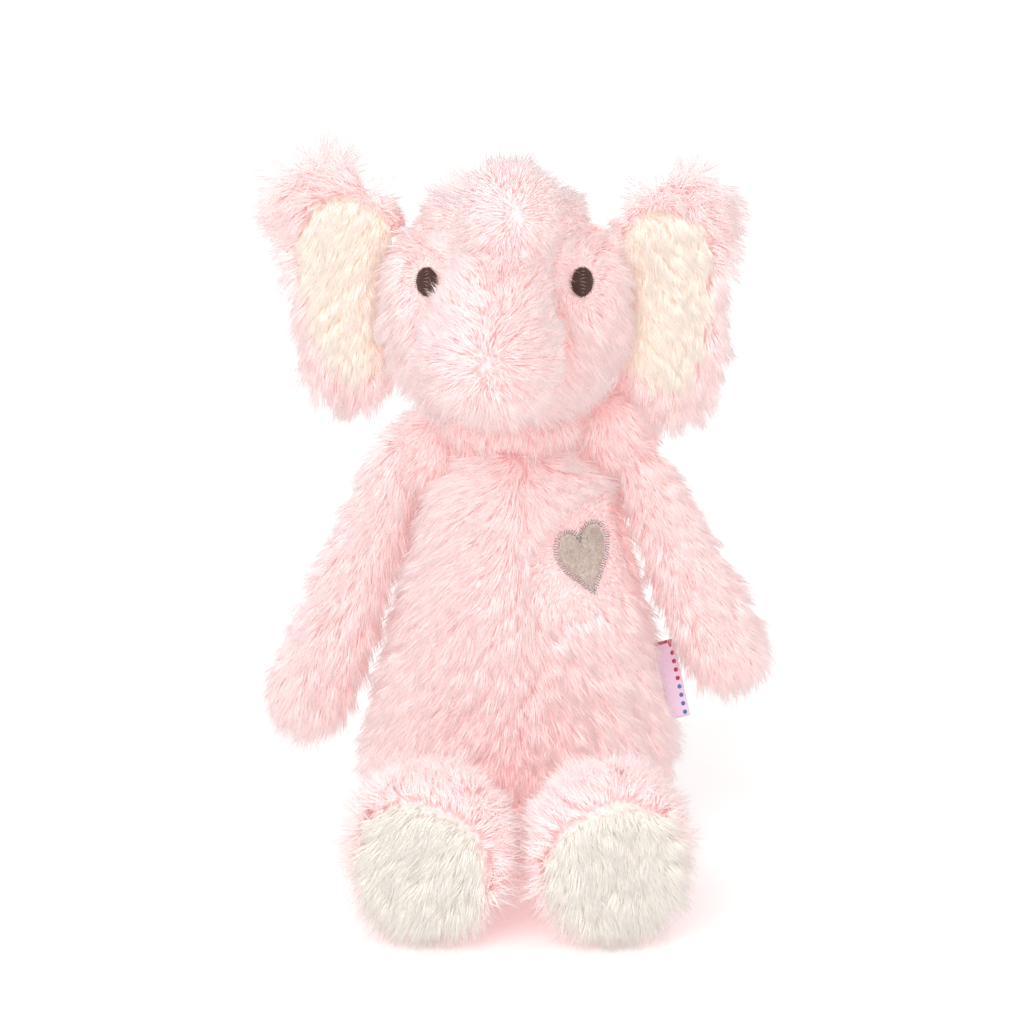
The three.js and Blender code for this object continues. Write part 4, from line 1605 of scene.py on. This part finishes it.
def makeLabel(spec, material):
    lean = math.radians(spec["lean"])
    out = Vector((math.cos(lean), 0.0, math.sin(lean)))
    up = Vector((-math.sin(lean), 0.0, math.cos(lean)))
    radius = spec["gap"] / 2 + spec["ply"] / 2
    straight = spec["reach"] - radius - spec["ply"] / 2
    path = [(straight * share, -radius) for share in np.linspace(0, 1, 10)[:-1]]
    turns = np.linspace(0, math.pi, 9)
    path += [(straight + radius * math.sin(turn), -radius * math.cos(turn)) for turn in turns]
    path += [(straight * share, radius) for share in np.linspace(1, 0, 10)[1:]]
    rows = 24
    shape = bmesh.new()
    ribbonMap = shape.loops.layers.uv.new("ribbon")
    grid = []
    for row in range(rows + 1):
        share = row / rows
        line = []
        for reach, side in path:
            wave = spec["curl"] * (reach / spec["reach"]) ** 2 * math.sin(2.2 * share + 0.4)
            place = Vector(spec["seam"]) + out * reach + up * (-spec["height"] * (1 - share))
            line.append(shape.verts.new(place + Vector((0.0, side + wave, 0.0))))
        grid.append(line)
    last = len(path) - 1
    for row in range(rows):
        for number in range(last):
            lower = grid[row]
            upper = grid[row + 1]
            face = shape.faces.new((lower[number], lower[number + 1], upper[number + 1], upper[number]))
            places = ((number, row), (number + 1, row), (number + 1, row + 1), (number, row + 1))
            for loop, (u, v) in zip(face.loops, places):
                loop[ribbonMap].uv = (u / last, v / rows)
    mesh = bpy.data.meshes.new("label_ribbon")
    shape.to_mesh(mesh)
    shape.free()
    piece = addObject("label_ribbon", mesh)
    ply = piece.modifiers.new("ply", "SOLIDIFY")
    ply.thickness = spec["ply"]
    ply.offset = 0.0
    coat(bakeShape(piece), material)
    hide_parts("side_label")
    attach(piece, "label")


# ---- build

makeCamera(viewpoint)
makeStudio(studio)
scene.view_settings.view_transform = "Standard"
print("camera and studio made")

forms = makeForms()
print("round forms", {name: len(form.data.vertices) for name, form in forms.items()})
stuffForms(list(forms.values()), clothStuffing)
print("forms stuffed")

grain = makeGrainGroup()
pileMaterials = {colour: pileMaterial(f"{colour}Pile", tones) for colour, tones in pileColours.items()}
# each backing takes its pile's root colour, deepened as painted shade, and the same painted glow
skinMaterials = {
    colour: clothMaterial(f"{colour}Backing", tones["root"], grain, glow=tones["glow"])
    for colour, tones in pileColours.items()
}
strand = makeStrand()
pileTree = makePileTree(strand)
total = 0
for index, (name, spec) in enumerate(limbs.items()):
    made = dressLimb(name, spec, forms, pileTree, pileMaterials, skinMaterials, 100 * (index + 1))
    counts = {pile.name: triangles(pile) for skin, pile in made}
    total += sum(counts.values())
    print("dressed", name, counts)
print("pile triangles", total)
makeNeck(neckBand, pileTree, forms)
makeShoulders(shoulderGather, pileTree, forms)
for form in forms.values():
    bpy.data.objects.remove(form)

fibre = clothMaterial("fibreFilling", fibreSpec["colour"], grain, scale=500.0, low=0.93, high=1.04, bump=0.6)
for body in frame["bodies"]:
    for node in frame["nodes"]:
        if node in fillings(body):
            makeFibre(node, body, fibre, fibreSpec)
print("stuffing made")

pouchCloth = clothMaterial("pouchCloth", pouchSpec["cloth"], grain, scale=1200.0, bump=0.4)
makePouchHalf("pellet_pouch_top", pouchCloth, pouchSpec)
makePouchHalf("pellet_pouch_bottom", pouchCloth, pouchSpec)
pelletLook = {"scale": 300.0, "roughness": 0.4, "bump": 0.1, "sheen": 0.0}
makePellets(clothMaterial("pelletPlastic", pouchSpec["pellet"], grain, **pelletLook), pouchSpec)
print("pouch made")

stitchTree = makeStitchTree(makeThread())
velour = clothMaterial("taupeVelour", heartSpec["velour"], grain, scale=700.0, low=0.85, high=1.08, sheen=0.3)
greyLook = {"scale": 2500.0, "low": 0.75, "high": 1.35, "roughness": 0.4, "bump": 0.3}
greyThreads = [
    clothMaterial(f"greyThread{number}", colour, grain, **greyLook)
    for number, colour in enumerate(heartSpec["threadColours"])
]
makeHeart(heartSpec, stitchTree, pileTree, velour, greyThreads)
brownLook = {"scale": 2500.0, "low": 0.7, "high": 1.4, "roughness": 0.38, "bump": 0.3, "sheen": 0.1}
brownThreads = [
    clothMaterial(f"brownThread{number}", colour, grain, **brownLook)
    for number, colour in enumerate((eyeSpec["dark"], eyeSpec["dark"], eyeSpec["light"]))
]
for side in ("left", "right"):
    makeEye(side, eyeSpec, stitchTree, brownThreads[0], brownThreads)
makeLabel(labelSpec, ribbonMaterial(labelSpec, grain))
print("heart, eyes and label made")
